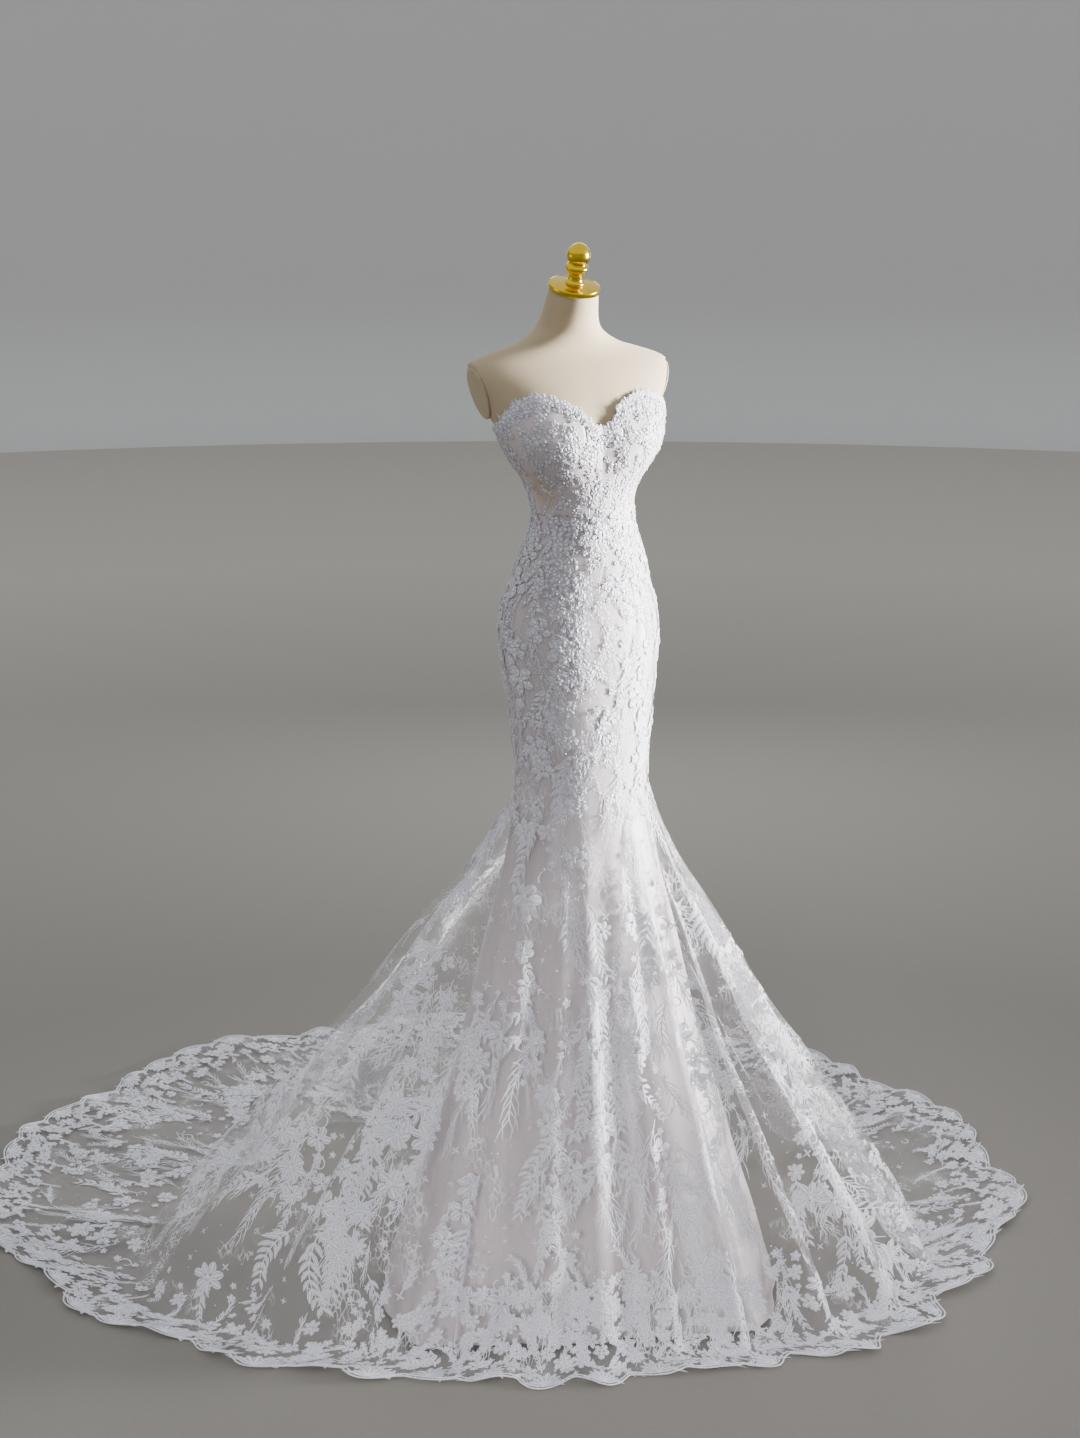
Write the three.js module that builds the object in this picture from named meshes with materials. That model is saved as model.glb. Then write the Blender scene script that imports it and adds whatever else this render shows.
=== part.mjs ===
// Strapless lace mermaid gown with a train, standing on a limbless dress form.
// Millimetres, +Z up. The gown faces -Y, the wearer's left is +X, and the origin lies on the
// floor under the form's pole.
import * as THREE from "three";
import { mergeVertices } from "three/addons/utils/BufferGeometryUtils.js";

// Driving dimensions of the cloth
const LACE_THICK = 1.5; // lace skirt and hem border
const LINING_THICK = 1.2;
const BODICE_THICK = 2.4; // lace on a boned foundation
const LINING_OUT = -1.9; // outer face of the lining, from the gown's outer face
const FORM_OUT = -7; // the form's skin, from the gown's outer face
const SEAM_GAP = 0.3;
const TRIM_INNER_OUT = 1.3; // the neckline petals and the placket lie on the panels
const TRIM_OUTER_OUT = 2.5;

// Driving heights
const WAIST_Z = 1610;
const KNEE_Z = 1080;
const LINING_HEM_Z = 15;
const BAND_WIDTH = 130; // scalloped border at the hem
const SCALLOP_DEPTH = 22;
const SCALLOP_PITCH = 116;
const LINING_REACH = 425; // radius of the lining's hem at the sides and the back
const LINING_CLEAR = 45; // at least this far inside the lace on the floor
const LINING_EASE = 20; // the lining hangs inside the deepest troughs

// Driving dimensions of the form and its stand
const FORM_BOTTOM_Z = 1240;
const NECK_TILT = 18 * (Math.PI / 180);
const CAP_CENTRE = { y: 41, z: 2012.4 };
const CAP_RADIUS = 48;
const CAP_THICK = 10;
const ARM_PLATE = { z: 1828, y: 62, halfDeep: 38, halfTall: 50, thick: 4 };
const ARM_PLANE = { z: 1760, x: 158, slope: 0.33 };
const POLE_RADIUS = 16;
const BASE_RADIUS = 150;
const BASE_THICK = 12;

const DEG = Math.PI / 180;
const CENTRE_BACK = 180;
const ROUND = 360;

// Horizontal sections of the gown and the form: height, how far back the widest line lies,
// half width, and depth to the front and to the back
const SECTIONS = [
  { z: 1080, back: 0, half: 133, front: 106, rear: 106 },
  { z: 1139, back: 2, half: 134, front: 107, rear: 107 },
  { z: 1214, back: 4, half: 142, front: 109, rear: 111 },
  { z: 1291, back: 8, half: 151, front: 110, rear: 118 },
  { z: 1363, back: 12, half: 159, front: 110, rear: 120 },
  { z: 1415, back: 14, half: 156, front: 106, rear: 120 },
  { z: 1446, back: 14, half: 149, front: 102, rear: 115 },
  { z: 1478, back: 10, half: 139, front: 98, rear: 106 },
  { z: 1511, back: 6, half: 129, front: 93, rear: 96 },
  { z: 1541, back: 3, half: 118, front: 89, rear: 88 },
  { z: 1579, back: 0, half: 104, front: 82, rear: 80 },
  { z: 1604, back: 0, half: 100, front: 80, rear: 78 },
  { z: 1636, back: 2, half: 102, front: 82, rear: 80 },
  { z: 1666, back: 5, half: 112, front: 87, rear: 86 },
  { z: 1690, back: 8, half: 127, front: 92, rear: 92 },
  { z: 1718, back: 12, half: 145, front: 97, rear: 98 },
  { z: 1757, back: 20, half: 162, front: 100, rear: 100 },
  { z: 1779, back: 35, half: 172, front: 112, rear: 92 },
  { z: 1810, back: 52, half: 188, front: 112, rear: 84 },
  { z: 1829, back: 60, half: 200, front: 108, rear: 80 },
  { z: 1858, back: 66, half: 214, front: 92, rear: 74 },
  { z: 1880, back: 68, half: 208, front: 72, rear: 66 },
  { z: 1892, back: 69, half: 184, front: 62, rear: 61 },
  { z: 1902, back: 70, half: 152, front: 57, rear: 58 },
  { z: 1914, back: 70, half: 112, front: 55, rear: 58 },
  { z: 1936, back: 68, half: 76, front: 56, rear: 60 },
  { z: 1960, back: 60, half: 62, front: 54, rear: 56 },
  { z: 2012, back: 41, half: 52, front: 51, rear: 51 },
];

// The two bust cups, as soft domes on the sections
const CUP = { angle: 32, z: 1745, rise: 27, wide: 21, tall: 44 };

// Height of the bodice's top edge round the body, from the dip at the centre front
const NECKLINE = [
  { angle: 0, z: 1768 },
  { angle: 6, z: 1779 },
  { angle: 14, z: 1806 },
  { angle: 24, z: 1822 },
  { angle: 34, z: 1826 },
  { angle: 46, z: 1815 },
  { angle: 60, z: 1795 },
  { angle: 75, z: 1775 },
  { angle: 90, z: 1764 },
  { angle: 110, z: 1755 },
  { angle: 140, z: 1742 },
  { angle: 180, z: 1732 },
];

// How the skirt opens below the knee: height and share of the way out to where it meets the floor
const FLARE = [
  { z: 1080, share: 0 },
  { z: 1030, share: 0.02 },
  { z: 980, share: 0.056 },
  { z: 906, share: 0.112 },
  { z: 806, share: 0.21 },
  { z: 706, share: 0.3 },
  { z: 582, share: 0.405 },
  { z: 414, share: 0.59 },
  { z: 304, share: 0.7 },
  { z: 191, share: 0.825 },
  { z: 100, share: 0.91 },
  { z: 40, share: 0.965 },
  { z: 10, share: 0.99 },
  { z: 1.5, share: 1 },
];

// Where the lace meets the floor and where its hem lies, round the gown from the centre front.
// Angles grow towards the wearer's left.
const PLAN = [
  { angle: -180, touch: 920, hem: 1500 },
  { angle: -165, touch: 920, hem: 1540 },
  { angle: -150, touch: 920, hem: 1485 },
  { angle: -137, touch: 915, hem: 1430 },
  { angle: -126, touch: 905, hem: 1275 },
  { angle: -115, touch: 880, hem: 1080 },
  { angle: -104, touch: 790, hem: 890 },
  { angle: -97, touch: 705, hem: 775 },
  { angle: -88, touch: 600, hem: 665 },
  { angle: -75, touch: 465, hem: 525 },
  { angle: -60, touch: 370, hem: 420 },
  { angle: -40, touch: 322, hem: 368 },
  { angle: -18, touch: 308, hem: 352 },
  { angle: 2, touch: 308, hem: 350 },
  { angle: 14, touch: 345, hem: 395 },
  { angle: 31, touch: 415, hem: 468 },
  { angle: 40, touch: 495, hem: 560 },
  { angle: 50, touch: 580, hem: 648 },
  { angle: 63, touch: 655, hem: 740 },
  { angle: 72, touch: 700, hem: 820 },
  { angle: 82, touch: 735, hem: 950 },
  { angle: 93, touch: 770, hem: 1083 },
  { angle: 101, touch: 800, hem: 1143 },
  { angle: 114, touch: 845, hem: 1250 },
  { angle: 127, touch: 880, hem: 1310 },
  { angle: 140, touch: 900, hem: 1380 },
  { angle: 160, touch: 915, hem: 1460 },
  { angle: 180, touch: 920, hem: 1500 },
];

// The skirt's folds: where each crest lies and how far it stands out at full height
const FOLDS = [
  { angle: -165, rise: 24 },
  { angle: -146, rise: 20 },
  { angle: -126, rise: 30 },
  { angle: -108, rise: 27 },
  { angle: -91, rise: 24 },
  { angle: -75, rise: 17 },
  { angle: -58, rise: 13 },
  { angle: -38, rise: 9 },
  { angle: -16, rise: 8 },
  { angle: 8, rise: 12 },
  { angle: 26, rise: 17 },
  { angle: 41, rise: 27 },
  { angle: 55, rise: 30 },
  { angle: 70, rise: 32 },
  { angle: 88, rise: 27 },
  { angle: 108, rise: 24 },
  { angle: 130, rise: 29 },
  { angle: 148, rise: 20 },
  { angle: 165, rise: 25 },
];
const TROUGH_SHARE = 0.6; // a trough's depth against its neighbours' rise

// How strongly the folds show along the skirt, by height while it hangs
const FOLD_STRENGTH = [
  { z: 0, share: 0.8 },
  { z: 60, share: 0.95 },
  { z: 300, share: 1 },
  { z: 600, share: 0.7 },
  { z: 850, share: 0.35 },
  { z: 1000, share: 0.12 },
  { z: 1080, share: 0 },
];
const FLOOR_STRENGTH = { start: 0.8, end: 0.16 }; // on the floor, from the touch line to the hem
const LOBE_PUSH = { touch: 0.6, hem: 1.1 }; // a crest's lobe in plan, against its rise
const TROUGH_FADE_Z = 60; // troughs flatten out below this height

const SKIRT_UPPER_Z = [1610, 1560, 1500, 1430, 1360, 1270, 1170, 1080];
const SKIRT_LOWER_SHARES = [0.08, 0.17, 0.28, 0.41, 0.54, 0.65, 0.75, 0.84, 0.92, 1];
const LINING_LOWER_Z = [1030, 960, 860, 650, 350, LINING_HEM_Z];
const BODICE_ROWS = [0, 0.13, 0.26, 0.38, 0.5, 0.61, 0.71, 0.81, 0.91, 1];
const FORM_Z = [
  1240, 1300, 1363, 1430, 1478, 1520, 1560, 1604, 1640, 1670, 1700, 1725, 1750, 1779, 1810,
  1832, 1856, 1876, 1890, 1901, 1914, 1936, 1964, 2012,
];
const FORM_COLUMNS = 40;
const LINING_COLUMNS = 36;
const BODICE_STEP = 6; // degrees
const TRIM_STEP = 4;
const PATH_STEPS = 40;
const PATH_SPREAD = 0.8; // below 1, the steps down a path grow closer towards the floor
const FLOOR_STEPS = 8;
const COLUMNS_PER_FOLD = 4;
const SEAM_CLEAR = 0.5; // degrees between a seam and the nearest column

// Value of a column at x on a smooth curve through a table's rows, sorted by key
function readTable(table, key, column, x) {
  const last = table.length - 1;
  const rising = table[last][key] > table[0][key];
  let i = 0;
  while (i < last - 1 && (rising ? x > table[i + 1][key] : x < table[i + 1][key])) {
    i += 1;
  }
  const a = table[i];
  const b = table[i + 1];
  const before = table[Math.max(i - 1, 0)];
  const after = table[Math.min(i + 2, last)];
  const span = b[key] - a[key];
  const t = Math.min(Math.max((x - a[key]) / span, 0), 1);
  const slopeIn = slope(before, b, key, column) * span;
  const slopeOut = slope(a, after, key, column) * span;
  const t2 = t * t;
  const t3 = t2 * t;
  return (
    (2 * t3 - 3 * t2 + 1) * a[column] +
    (t3 - 2 * t2 + t) * slopeIn +
    (3 * t2 - 2 * t3) * b[column] +
    (t3 - t2) * slopeOut
  );
}

function slope(from, to, key, column) {
  return (to[column] - from[column]) / (to[key] - from[key]);
}

// Angle brought to -180..180
function turned(angle) {
  return angle - ROUND * Math.round(angle / ROUND);
}

function bell(distance, width) {
  return Math.exp(-0.5 * (distance / width) ** 2);
}

// Point of the body of the gown, moved out by `out`
function bodyPoint(angle, z, out) {
  const a = angle * DEG;
  const back = readTable(SECTIONS, "z", "back", z);
  const half = readTable(SECTIONS, "z", "half", z);
  const depth = readTable(SECTIONS, "z", Math.cos(a) > 0 ? "front" : "rear", z);
  const off = Math.abs(turned(angle)) - CUP.angle;
  const cup = CUP.rise * bell(off, CUP.wide) * bell(z - CUP.z, CUP.tall);
  const grow = out + cup;
  const x = (half + grow) * Math.sin(a);
  const y = back - (depth + grow) * Math.cos(a);
  return new THREE.Vector3(x, y, z);
}

// Fold displacement at an angle, before its strength along the skirt: crests up, troughs down
function foldWave(angle) {
  const here = turned(angle);
  let next = FOLDS.findIndex((fold) => fold.angle >= here);
  if (next < 0) {
    next = FOLDS.length;
  }
  const right = FOLDS[next % FOLDS.length];
  const left = FOLDS[(next + FOLDS.length - 1) % FOLDS.length];
  const rightAngle = next < FOLDS.length ? right.angle : right.angle + ROUND;
  const leftAngle = next > 0 ? left.angle : left.angle - ROUND;
  const t = (here - leftAngle) / (rightAngle - leftAngle);
  const crest = t < 0.5 ? left.rise : right.rise;
  const trough = (-TROUGH_SHARE * (left.rise + right.rise)) / 2;
  const level = (1 + Math.cos(2 * Math.PI * t)) / 2;
  return trough + (crest - trough) * level;
}

// Path of the lace below the knee at an angle: base points in the plane of that angle, with
// their length from the knee
const pathCache = new Map();
function skirtPath(angle) {
  const key = turned(angle).toFixed(5);
  if (!pathCache.has(key)) {
    pathCache.set(key, makePath(turned(angle)));
  }
  return pathCache.get(key);
}

function makePath(angle) {
  const a = angle * DEG;
  const wave = foldWave(angle);
  const touch = readTable(PLAN, "angle", "touch", angle) + LOBE_PUSH.touch * wave;
  const hem = readTable(PLAN, "angle", "hem", angle) + LOBE_PUSH.hem * wave;
  const knee = bodyPoint(angle, KNEE_Z, 0);
  const direction = new THREE.Vector3(Math.sin(a), -Math.cos(a), 0);
  const foot = direction.clone().multiplyScalar(touch);
  const points = [];
  for (let i = 0; i <= PATH_STEPS; i += 1) {
    const z = KNEE_Z + (LACE_THICK - KNEE_Z) * (i / PATH_STEPS) ** PATH_SPREAD;
    const share = readTable(FLARE, "z", "share", z);
    const p = knee.clone().lerp(foot, share);
    p.z = z;
    points.push({ p, floor: -1 });
  }
  for (let i = 1; i <= FLOOR_STEPS; i += 1) {
    const floor = i / FLOOR_STEPS;
    const p = direction.clone().multiplyScalar(touch + (hem - touch) * floor);
    p.z = LACE_THICK;
    points.push({ p, floor });
  }
  let length = 0;
  points.forEach((step, i) => {
    if (i > 0) {
      length += step.p.distanceTo(points[i - 1].p);
    }
    step.length = length;
  });
  return { points, length, direction };
}

// Base place on a path at a length from the knee. Past the hem it runs on along the floor.
function pathPlace(path, length) {
  const { points } = path;
  const last = points.length - 1;
  if (length >= path.length) {
    const p = points[last].p.clone().addScaledVector(path.direction, length - path.length);
    return { p, floor: 1 };
  }
  let i = 1;
  while (i < last && points[i].length < length) {
    i += 1;
  }
  const from = points[i - 1];
  const to = points[i];
  const t = (length - from.length) / (to.length - from.length);
  const floor = Math.max(from.floor, 0) + (Math.max(to.floor, 0) - Math.max(from.floor, 0)) * t;
  return { p: from.p.clone().lerp(to.p, t), floor: to.floor < 0 ? -1 : floor };
}

// Point of the lace below the knee at a length along its path, moved out by `out`
const NORMAL_REACH = 25;
function skirtPoint(angle, length, out) {
  const path = skirtPath(angle);
  const { p, floor } = pathPlace(path, length);
  const ahead = pathPlace(path, length + NORMAL_REACH).p;
  const behind = pathPlace(path, Math.max(length - NORMAL_REACH, 0)).p;
  const along = ahead.sub(behind).normalize();
  const outward = along.dot(path.direction);
  const normal = path.direction.clone().multiplyScalar(-along.z);
  normal.z = outward;
  normal.normalize();
  const wave = foldWave(angle);
  const strength =
    floor < 0
      ? readTable(FOLD_STRENGTH, "z", "share", p.z)
      : FLOOR_STRENGTH.start + (FLOOR_STRENGTH.end - FLOOR_STRENGTH.start) * floor;
  const hanging = floor < 0 ? Math.min(p.z / TROUGH_FADE_Z, 1) : 0;
  const shift = strength * (wave < 0 ? wave * hanging : wave);
  p.addScaledVector(normal, shift);
  p.z = Math.max(p.z, LACE_THICK);
  return p.addScaledVector(normal, out);
}

// Point of the lining below the knee at a height, moved out by `out`
function liningPoint(angle, z, out) {
  const a = angle * DEG;
  const touch = readTable(PLAN, "angle", "touch", turned(angle));
  const reach = Math.min(LINING_REACH, touch - LINING_CLEAR);
  const ease = LINING_EASE * readTable(FOLD_STRENGTH, "z", "share", z);
  const knee = bodyPoint(angle, KNEE_Z, LINING_OUT + out - ease);
  const foot = new THREE.Vector3(Math.sin(a), -Math.cos(a), 0).multiplyScalar(reach + out - ease);
  const p = knee.lerp(foot, readTable(FLARE, "z", "share", z));
  p.z = z;
  return p;
}

// Angles at every crest, trough and the places halfway between them
function foldAngles() {
  const angles = [];
  FOLDS.forEach((fold, i) => {
    const next = FOLDS[(i + 1) % FOLDS.length];
    const span = i + 1 < FOLDS.length ? next.angle - fold.angle : next.angle + ROUND - fold.angle;
    for (let k = 0; k < COLUMNS_PER_FOLD; k += 1) {
      angles.push(fold.angle + (span * k) / COLUMNS_PER_FOLD);
    }
  });
  return angles;
}
const FOLD_ANGLES = foldAngles();

// Fold angles from one seam to the next, with the seams themselves
function columnsBetween(start, end) {
  const inside = [];
  for (let turn = -ROUND; turn <= ROUND; turn += ROUND) {
    FOLD_ANGLES.forEach((angle) => inside.push(angle + turn));
  }
  const between = inside.filter((angle) => angle > start + SEAM_CLEAR && angle < end - SEAM_CLEAR);
  return [start, ...between.sort((p, q) => p - q), end];
}

function evenColumns(start, end, step) {
  const count = Math.round((end - start) / step);
  return Array.from({ length: count + 1 }, (_, i) => start + ((end - start) * i) / count);
}

// Closed wall from two grids of points, [column][row], with its outer face towards `outer`
function wallGeometry(outer, inner) {
  const columns = outer.length;
  const rows = outer[0].length;
  const vertices = [];
  [...outer, ...inner].forEach((line) => {
    line.forEach((p) => vertices.push(p.x, p.y, p.z));
  });
  const at = (side, i, j) => side * columns * rows + i * rows + j;
  const index = [];
  const quad = (a, b, c, d) => index.push(a, b, c, a, c, d);
  for (let i = 0; i < columns - 1; i += 1) {
    for (let j = 0; j < rows - 1; j += 1) {
      quad(at(0, i, j), at(0, i, j + 1), at(0, i + 1, j + 1), at(0, i + 1, j));
      quad(at(1, i, j), at(1, i + 1, j), at(1, i + 1, j + 1), at(1, i, j + 1));
    }
    quad(at(0, i, 0), at(0, i + 1, 0), at(1, i + 1, 0), at(1, i, 0));
    quad(at(0, i, rows - 1), at(1, i, rows - 1), at(1, i + 1, rows - 1), at(0, i + 1, rows - 1));
  }
  for (let j = 0; j < rows - 1; j += 1) {
    const end = columns - 1;
    quad(at(0, 0, j), at(1, 0, j), at(1, 0, j + 1), at(0, 0, j + 1));
    quad(at(0, end, j), at(0, end, j + 1), at(1, end, j + 1), at(1, end, j));
  }
  const geometry = new THREE.BufferGeometry();
  geometry.setAttribute("position", new THREE.Float32BufferAttribute(vertices, 3));
  geometry.setIndex(index);
  return geometry;
}

// Wall between two seams. place(angle, row, out) gives a point; rows run down the cloth.
function seamedWall(angles, rows, outs, place) {
  const last = angles.length - 1;
  const grid = (out) =>
    angles.map((angle, i) =>
      rows.map((row) => {
        const p = place(angle, row, out);
        const inset = i === 0 ? 1 : i === last ? -1 : 0;
        if (inset === 0) {
          return p;
        }
        const step = (SEAM_GAP / 2 / Math.hypot(p.x, p.y)) * inset;
        return place(angle + step / DEG, row, out);
      }),
    );
  return wallGeometry(grid(outs[0]), grid(outs[1]));
}

const object = new THREE.Group();

function addPiece(name, geometry, material) {
  const mesh = new THREE.Mesh(geometry, material);
  mesh.name = name;
  object.add(mesh);
  return mesh;
}

function finish(colour, roughness, metalness) {
  return new THREE.MeshStandardMaterial({ color: colour, roughness, metalness });
}

// Bodice panels, from the waist seam up to the neckline
const BODICE_PANELS = [
  { name: "bodice_front_centre", start: -12, end: 12 },
  { name: "bodice_cup_left", start: 12, end: 54 },
  { name: "bodice_side_left", start: 54, end: 114 },
  { name: "bodice_back_left", start: 114, end: 180 },
  { name: "bodice_back_right", start: 180, end: 246 },
  { name: "bodice_side_right", start: 246, end: 306 },
  { name: "bodice_cup_right", start: 306, end: 348 },
];

function necklineZ(angle) {
  return readTable(NECKLINE, "angle", "z", Math.abs(turned(angle)));
}

function bodicePlace(angle, row, out) {
  const bottom = WAIST_Z + SEAM_GAP;
  return bodyPoint(angle, bottom + (necklineZ(angle) - bottom) * row, out);
}

function addBodice(material) {
  const rows = [...BODICE_ROWS].reverse();
  BODICE_PANELS.forEach(({ name, start, end }) => {
    const angles = evenColumns(start, end, BODICE_STEP);
    addPiece(name, seamedWall(angles, rows, [0, -BODICE_THICK], bodicePlace), material);
  });
}

// Petal edge along the neckline: alternate points stand above the bodice's top edge
const PETAL_DEPTH = 26;
const PETAL_TOPS = [2, 9, 7];
const DIP_LIFT = { rise: 2.2, wide: 15 }; // the petals stand further off across the dip
function addNecklineTrim(material) {
  const halves = [
    { name: "neckline_trim_left", start: 0, end: 176 },
    { name: "neckline_trim_right", start: -176, end: 0 },
  ];
  halves.forEach(({ name, start, end }) => {
    const angles = evenColumns(start, end, TRIM_STEP);
    const place = (angle, row, out) => {
      const petal = PETAL_TOPS[Math.abs(Math.round(turned(angle) / TRIM_STEP)) % PETAL_TOPS.length];
      const z = row === 0 ? necklineZ(angle) + petal : necklineZ(angle) - PETAL_DEPTH + petal;
      return bodyPoint(angle, z, out + DIP_LIFT.rise * bell(turned(angle), DIP_LIFT.wide));
    };
    addPiece(name, seamedWall(angles, [0, 1], [TRIM_OUTER_OUT, TRIM_INNER_OUT], place), material);
  });
}

// Covered placket over the centre back zip, from the neckline to below the waist
const PLACKET = { half: 3.2, step: 3.2 };
const PLACKET_Z = [1731, 1700, 1671, 1640, 1610, 1560, 1500, 1430];
function addPlacket(material) {
  const angles = evenColumns(CENTRE_BACK - PLACKET.half, CENTRE_BACK + PLACKET.half, PLACKET.step);
  const geometry = seamedWall(angles, PLACKET_Z, [TRIM_OUTER_OUT, TRIM_INNER_OUT], bodyPoint);
  addPiece("back_zip_placket", geometry, material);
}

// Skirt gores, from the waist seam to the hem border
const GORES = [
  { name: "skirt_front", start: -27, end: 17 },
  { name: "skirt_front_left", start: 17, end: 62.5 },
  { name: "skirt_side_left", start: 62.5, end: 119 },
  { name: "skirt_back_left", start: 119, end: 180 },
  { name: "skirt_back_right", start: 180, end: 243 },
  { name: "skirt_side_right", start: 243, end: 293.5 },
  { name: "skirt_front_right", start: 293.5, end: 333 },
];

function gorePlace(angle, row, out) {
  if (row.z !== undefined) {
    return bodyPoint(angle, row.z, out);
  }
  const length = skirtPath(angle).length - BAND_WIDTH - SEAM_GAP;
  return skirtPoint(angle, length * row.share, out);
}

function addGores(material) {
  const rows = [
    ...SKIRT_UPPER_Z.map((z) => ({ z })),
    ...SKIRT_LOWER_SHARES.map((share) => ({ share })),
  ];
  GORES.forEach(({ name, start, end }) => {
    const angles = columnsBetween(start, end);
    addPiece(name, seamedWall(angles, rows, [0, -LACE_THICK], gorePlace), material);
  });
}

// Scalloped border. Its columns lie on straight lines between the gores' columns, so the two
// edges at the seam stay parallel, and they are about a quarter of a scallop apart at the hem.
const BANDS = [
  { name: "hem_border_front", start: -66.5, end: 62.5 },
  { name: "hem_border_left", start: 62.5, end: 119 },
  { name: "hem_border_train", start: 119, end: 243 },
  { name: "hem_border_right", start: 243, end: 293.5 },
];
const BAND_ROWS = [0, 0.5, 1];
const SCALLOP_SHAPE = [0, 0.75, 1, 0.75]; // one value for each column of a scallop

// Columns as a place between two of the gores' angles
function bandColumns(coarse) {
  const columns = [];
  for (let i = 0; i < coarse.length - 1; i += 1) {
    const from = skirtPoint(coarse[i], skirtPath(coarse[i]).length, 0);
    const to = skirtPoint(coarse[i + 1], skirtPath(coarse[i + 1]).length, 0);
    const scallops = from.distanceTo(to) / SCALLOP_PITCH;
    const count = Math.max(1, Math.round(scallops * SCALLOP_SHAPE.length));
    for (let k = 0; k < count; k += 1) {
      columns.push({ from: coarse[i], to: coarse[i + 1], share: k / count });
    }
  }
  columns.push({ from: coarse[coarse.length - 2], to: coarse[coarse.length - 1], share: 1 });
  return columns;
}

function bandPoint(column, lobe, row, out) {
  const point = (angle) => {
    const scallop = row === 1 ? SCALLOP_DEPTH * lobe : 0;
    return skirtPoint(angle, skirtPath(angle).length - BAND_WIDTH * (1 - row) + scallop, out);
  };
  return point(column.from).lerp(point(column.to), column.share);
}

function bandGrid(columns, first, out) {
  const grid = columns.map((column, i) => {
    const lobe = SCALLOP_SHAPE[(first + i) % SCALLOP_SHAPE.length];
    return BAND_ROWS.map((row) => bandPoint(column, lobe, row, out));
  });
  const last = columns.length - 1;
  pullIn(grid[0], grid[1]);
  pullIn(grid[last], grid[last - 1]);
  return grid;
}

// Half a seam's gap at the end of a border piece
function pullIn(line, beside) {
  line.forEach((p, j) => p.add(beside[j].clone().sub(p).setLength(SEAM_GAP / 2)));
}

function addBands(material) {
  let first = 0;
  BANDS.forEach(({ name, start, end }) => {
    const columns = bandColumns(columnsBetween(start, end));
    const geometry = wallGeometry(
      bandGrid(columns, first, 0),
      bandGrid(columns, first, -LACE_THICK),
    );
    addPiece(name, geometry, material);
    first += columns.length - 1;
  });
}

// Satin lining in two halves, from the waist seam to just above the floor
const LININGS = [
  { name: "lining_front", start: -90, end: 90 },
  { name: "lining_back", start: 90, end: 270 },
];

function liningPlace(angle, z, out) {
  return z >= KNEE_Z ? bodyPoint(angle, z, LINING_OUT + out) : liningPoint(angle, z, out);
}

function addLinings(material) {
  const rows = [...SKIRT_UPPER_Z, ...LINING_LOWER_Z];
  LININGS.forEach(({ name, start, end }) => {
    const angles = evenColumns(start, end, ROUND / LINING_COLUMNS);
    addPiece(name, seamedWall(angles, rows, [0, -LINING_THICK], liningPlace), material);
  });
}

// Torso of the form: its sides are cut flat where the arm plates sit, and its neck leans
function armPlaneX(z) {
  return ARM_PLANE.x + ARM_PLANE.slope * (z - ARM_PLANE.z);
}

const NECK_LEAN = { start: 1930, span: 60 }; // heights over which the neck's sections tilt
function formPoint(angle, z) {
  const p = bodyPoint(angle, z, FORM_OUT);
  const limit = armPlaneX(z);
  if (z > ARM_PLANE.z && Math.abs(p.x) > limit) {
    p.x = Math.sign(p.x) * limit;
  }
  const lean = Math.min(Math.max((z - NECK_LEAN.start) / NECK_LEAN.span, 0), 1);
  p.z += (p.y - readTable(SECTIONS, "z", "back", z)) * Math.tan(NECK_TILT) * lean;
  return p;
}

function addTorso(material) {
  const vertices = [];
  const index = [];
  const rows = FORM_Z.length;
  FORM_Z.forEach((z) => {
    for (let i = 0; i < FORM_COLUMNS; i += 1) {
      const p = formPoint((ROUND * i) / FORM_COLUMNS, z);
      vertices.push(p.x, p.y, p.z);
    }
  });
  const bottom = vertices.length / 3;
  const low = new THREE.Vector3(0, readTable(SECTIONS, "z", "back", FORM_Z[0]), FORM_Z[0]);
  const high = new THREE.Vector3(0, readTable(SECTIONS, "z", "back", FORM_Z[rows - 1]), FORM_Z[rows - 1]);
  vertices.push(low.x, low.y, low.z, high.x, high.y, high.z);
  for (let i = 0; i < FORM_COLUMNS; i += 1) {
    const next = (i + 1) % FORM_COLUMNS;
    for (let j = 0; j < rows - 1; j += 1) {
      const a = j * FORM_COLUMNS + i;
      const b = j * FORM_COLUMNS + next;
      index.push(a, b, b + FORM_COLUMNS, a, b + FORM_COLUMNS, a + FORM_COLUMNS);
    }
    index.push(bottom, next, i);
    const top = (rows - 1) * FORM_COLUMNS;
    index.push(bottom + 1, top + i, top + next);
  }
  const geometry = new THREE.BufferGeometry();
  geometry.setAttribute("position", new THREE.Float32BufferAttribute(vertices, 3));
  geometry.setIndex(index);
  addPiece("form_torso", geometry, material);
}

function addArmPlates(material) {
  const outline = new THREE.Shape();
  outline.absellipse(0, 0, ARM_PLATE.halfDeep, ARM_PLATE.halfTall, 0, 2 * Math.PI, false, 0);
  const tilt = Math.atan(ARM_PLANE.slope);
  [
    { name: "form_arm_plate_left", side: 1 },
    { name: "form_arm_plate_right", side: -1 },
  ].forEach(({ name, side }) => {
    const geometry = new THREE.ExtrudeGeometry(outline, {
      depth: ARM_PLATE.thick,
      bevelEnabled: false,
      curveSegments: ROUND_STEPS.plate,
    });
    geometry.rotateX(Math.PI / 2);
    geometry.rotateZ(side > 0 ? Math.PI / 2 : -Math.PI / 2);
    geometry.rotateY(side * tilt);
    const mesh = addPiece(name, mergeVertices(plain(geometry)), material);
    mesh.position.set(side * (armPlaneX(ARM_PLATE.z) + SEAM_GAP), ARM_PLATE.y, ARM_PLATE.z);
  });
}

// Only the position is left, so that shared corners merge
function plain(geometry) {
  geometry.deleteAttribute("normal");
  geometry.deleteAttribute("uv");
  return geometry;
}

const ROUND_STEPS = { cap: 32, finial: 14, base: 40, pole: 20, plate: 14 };

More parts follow.
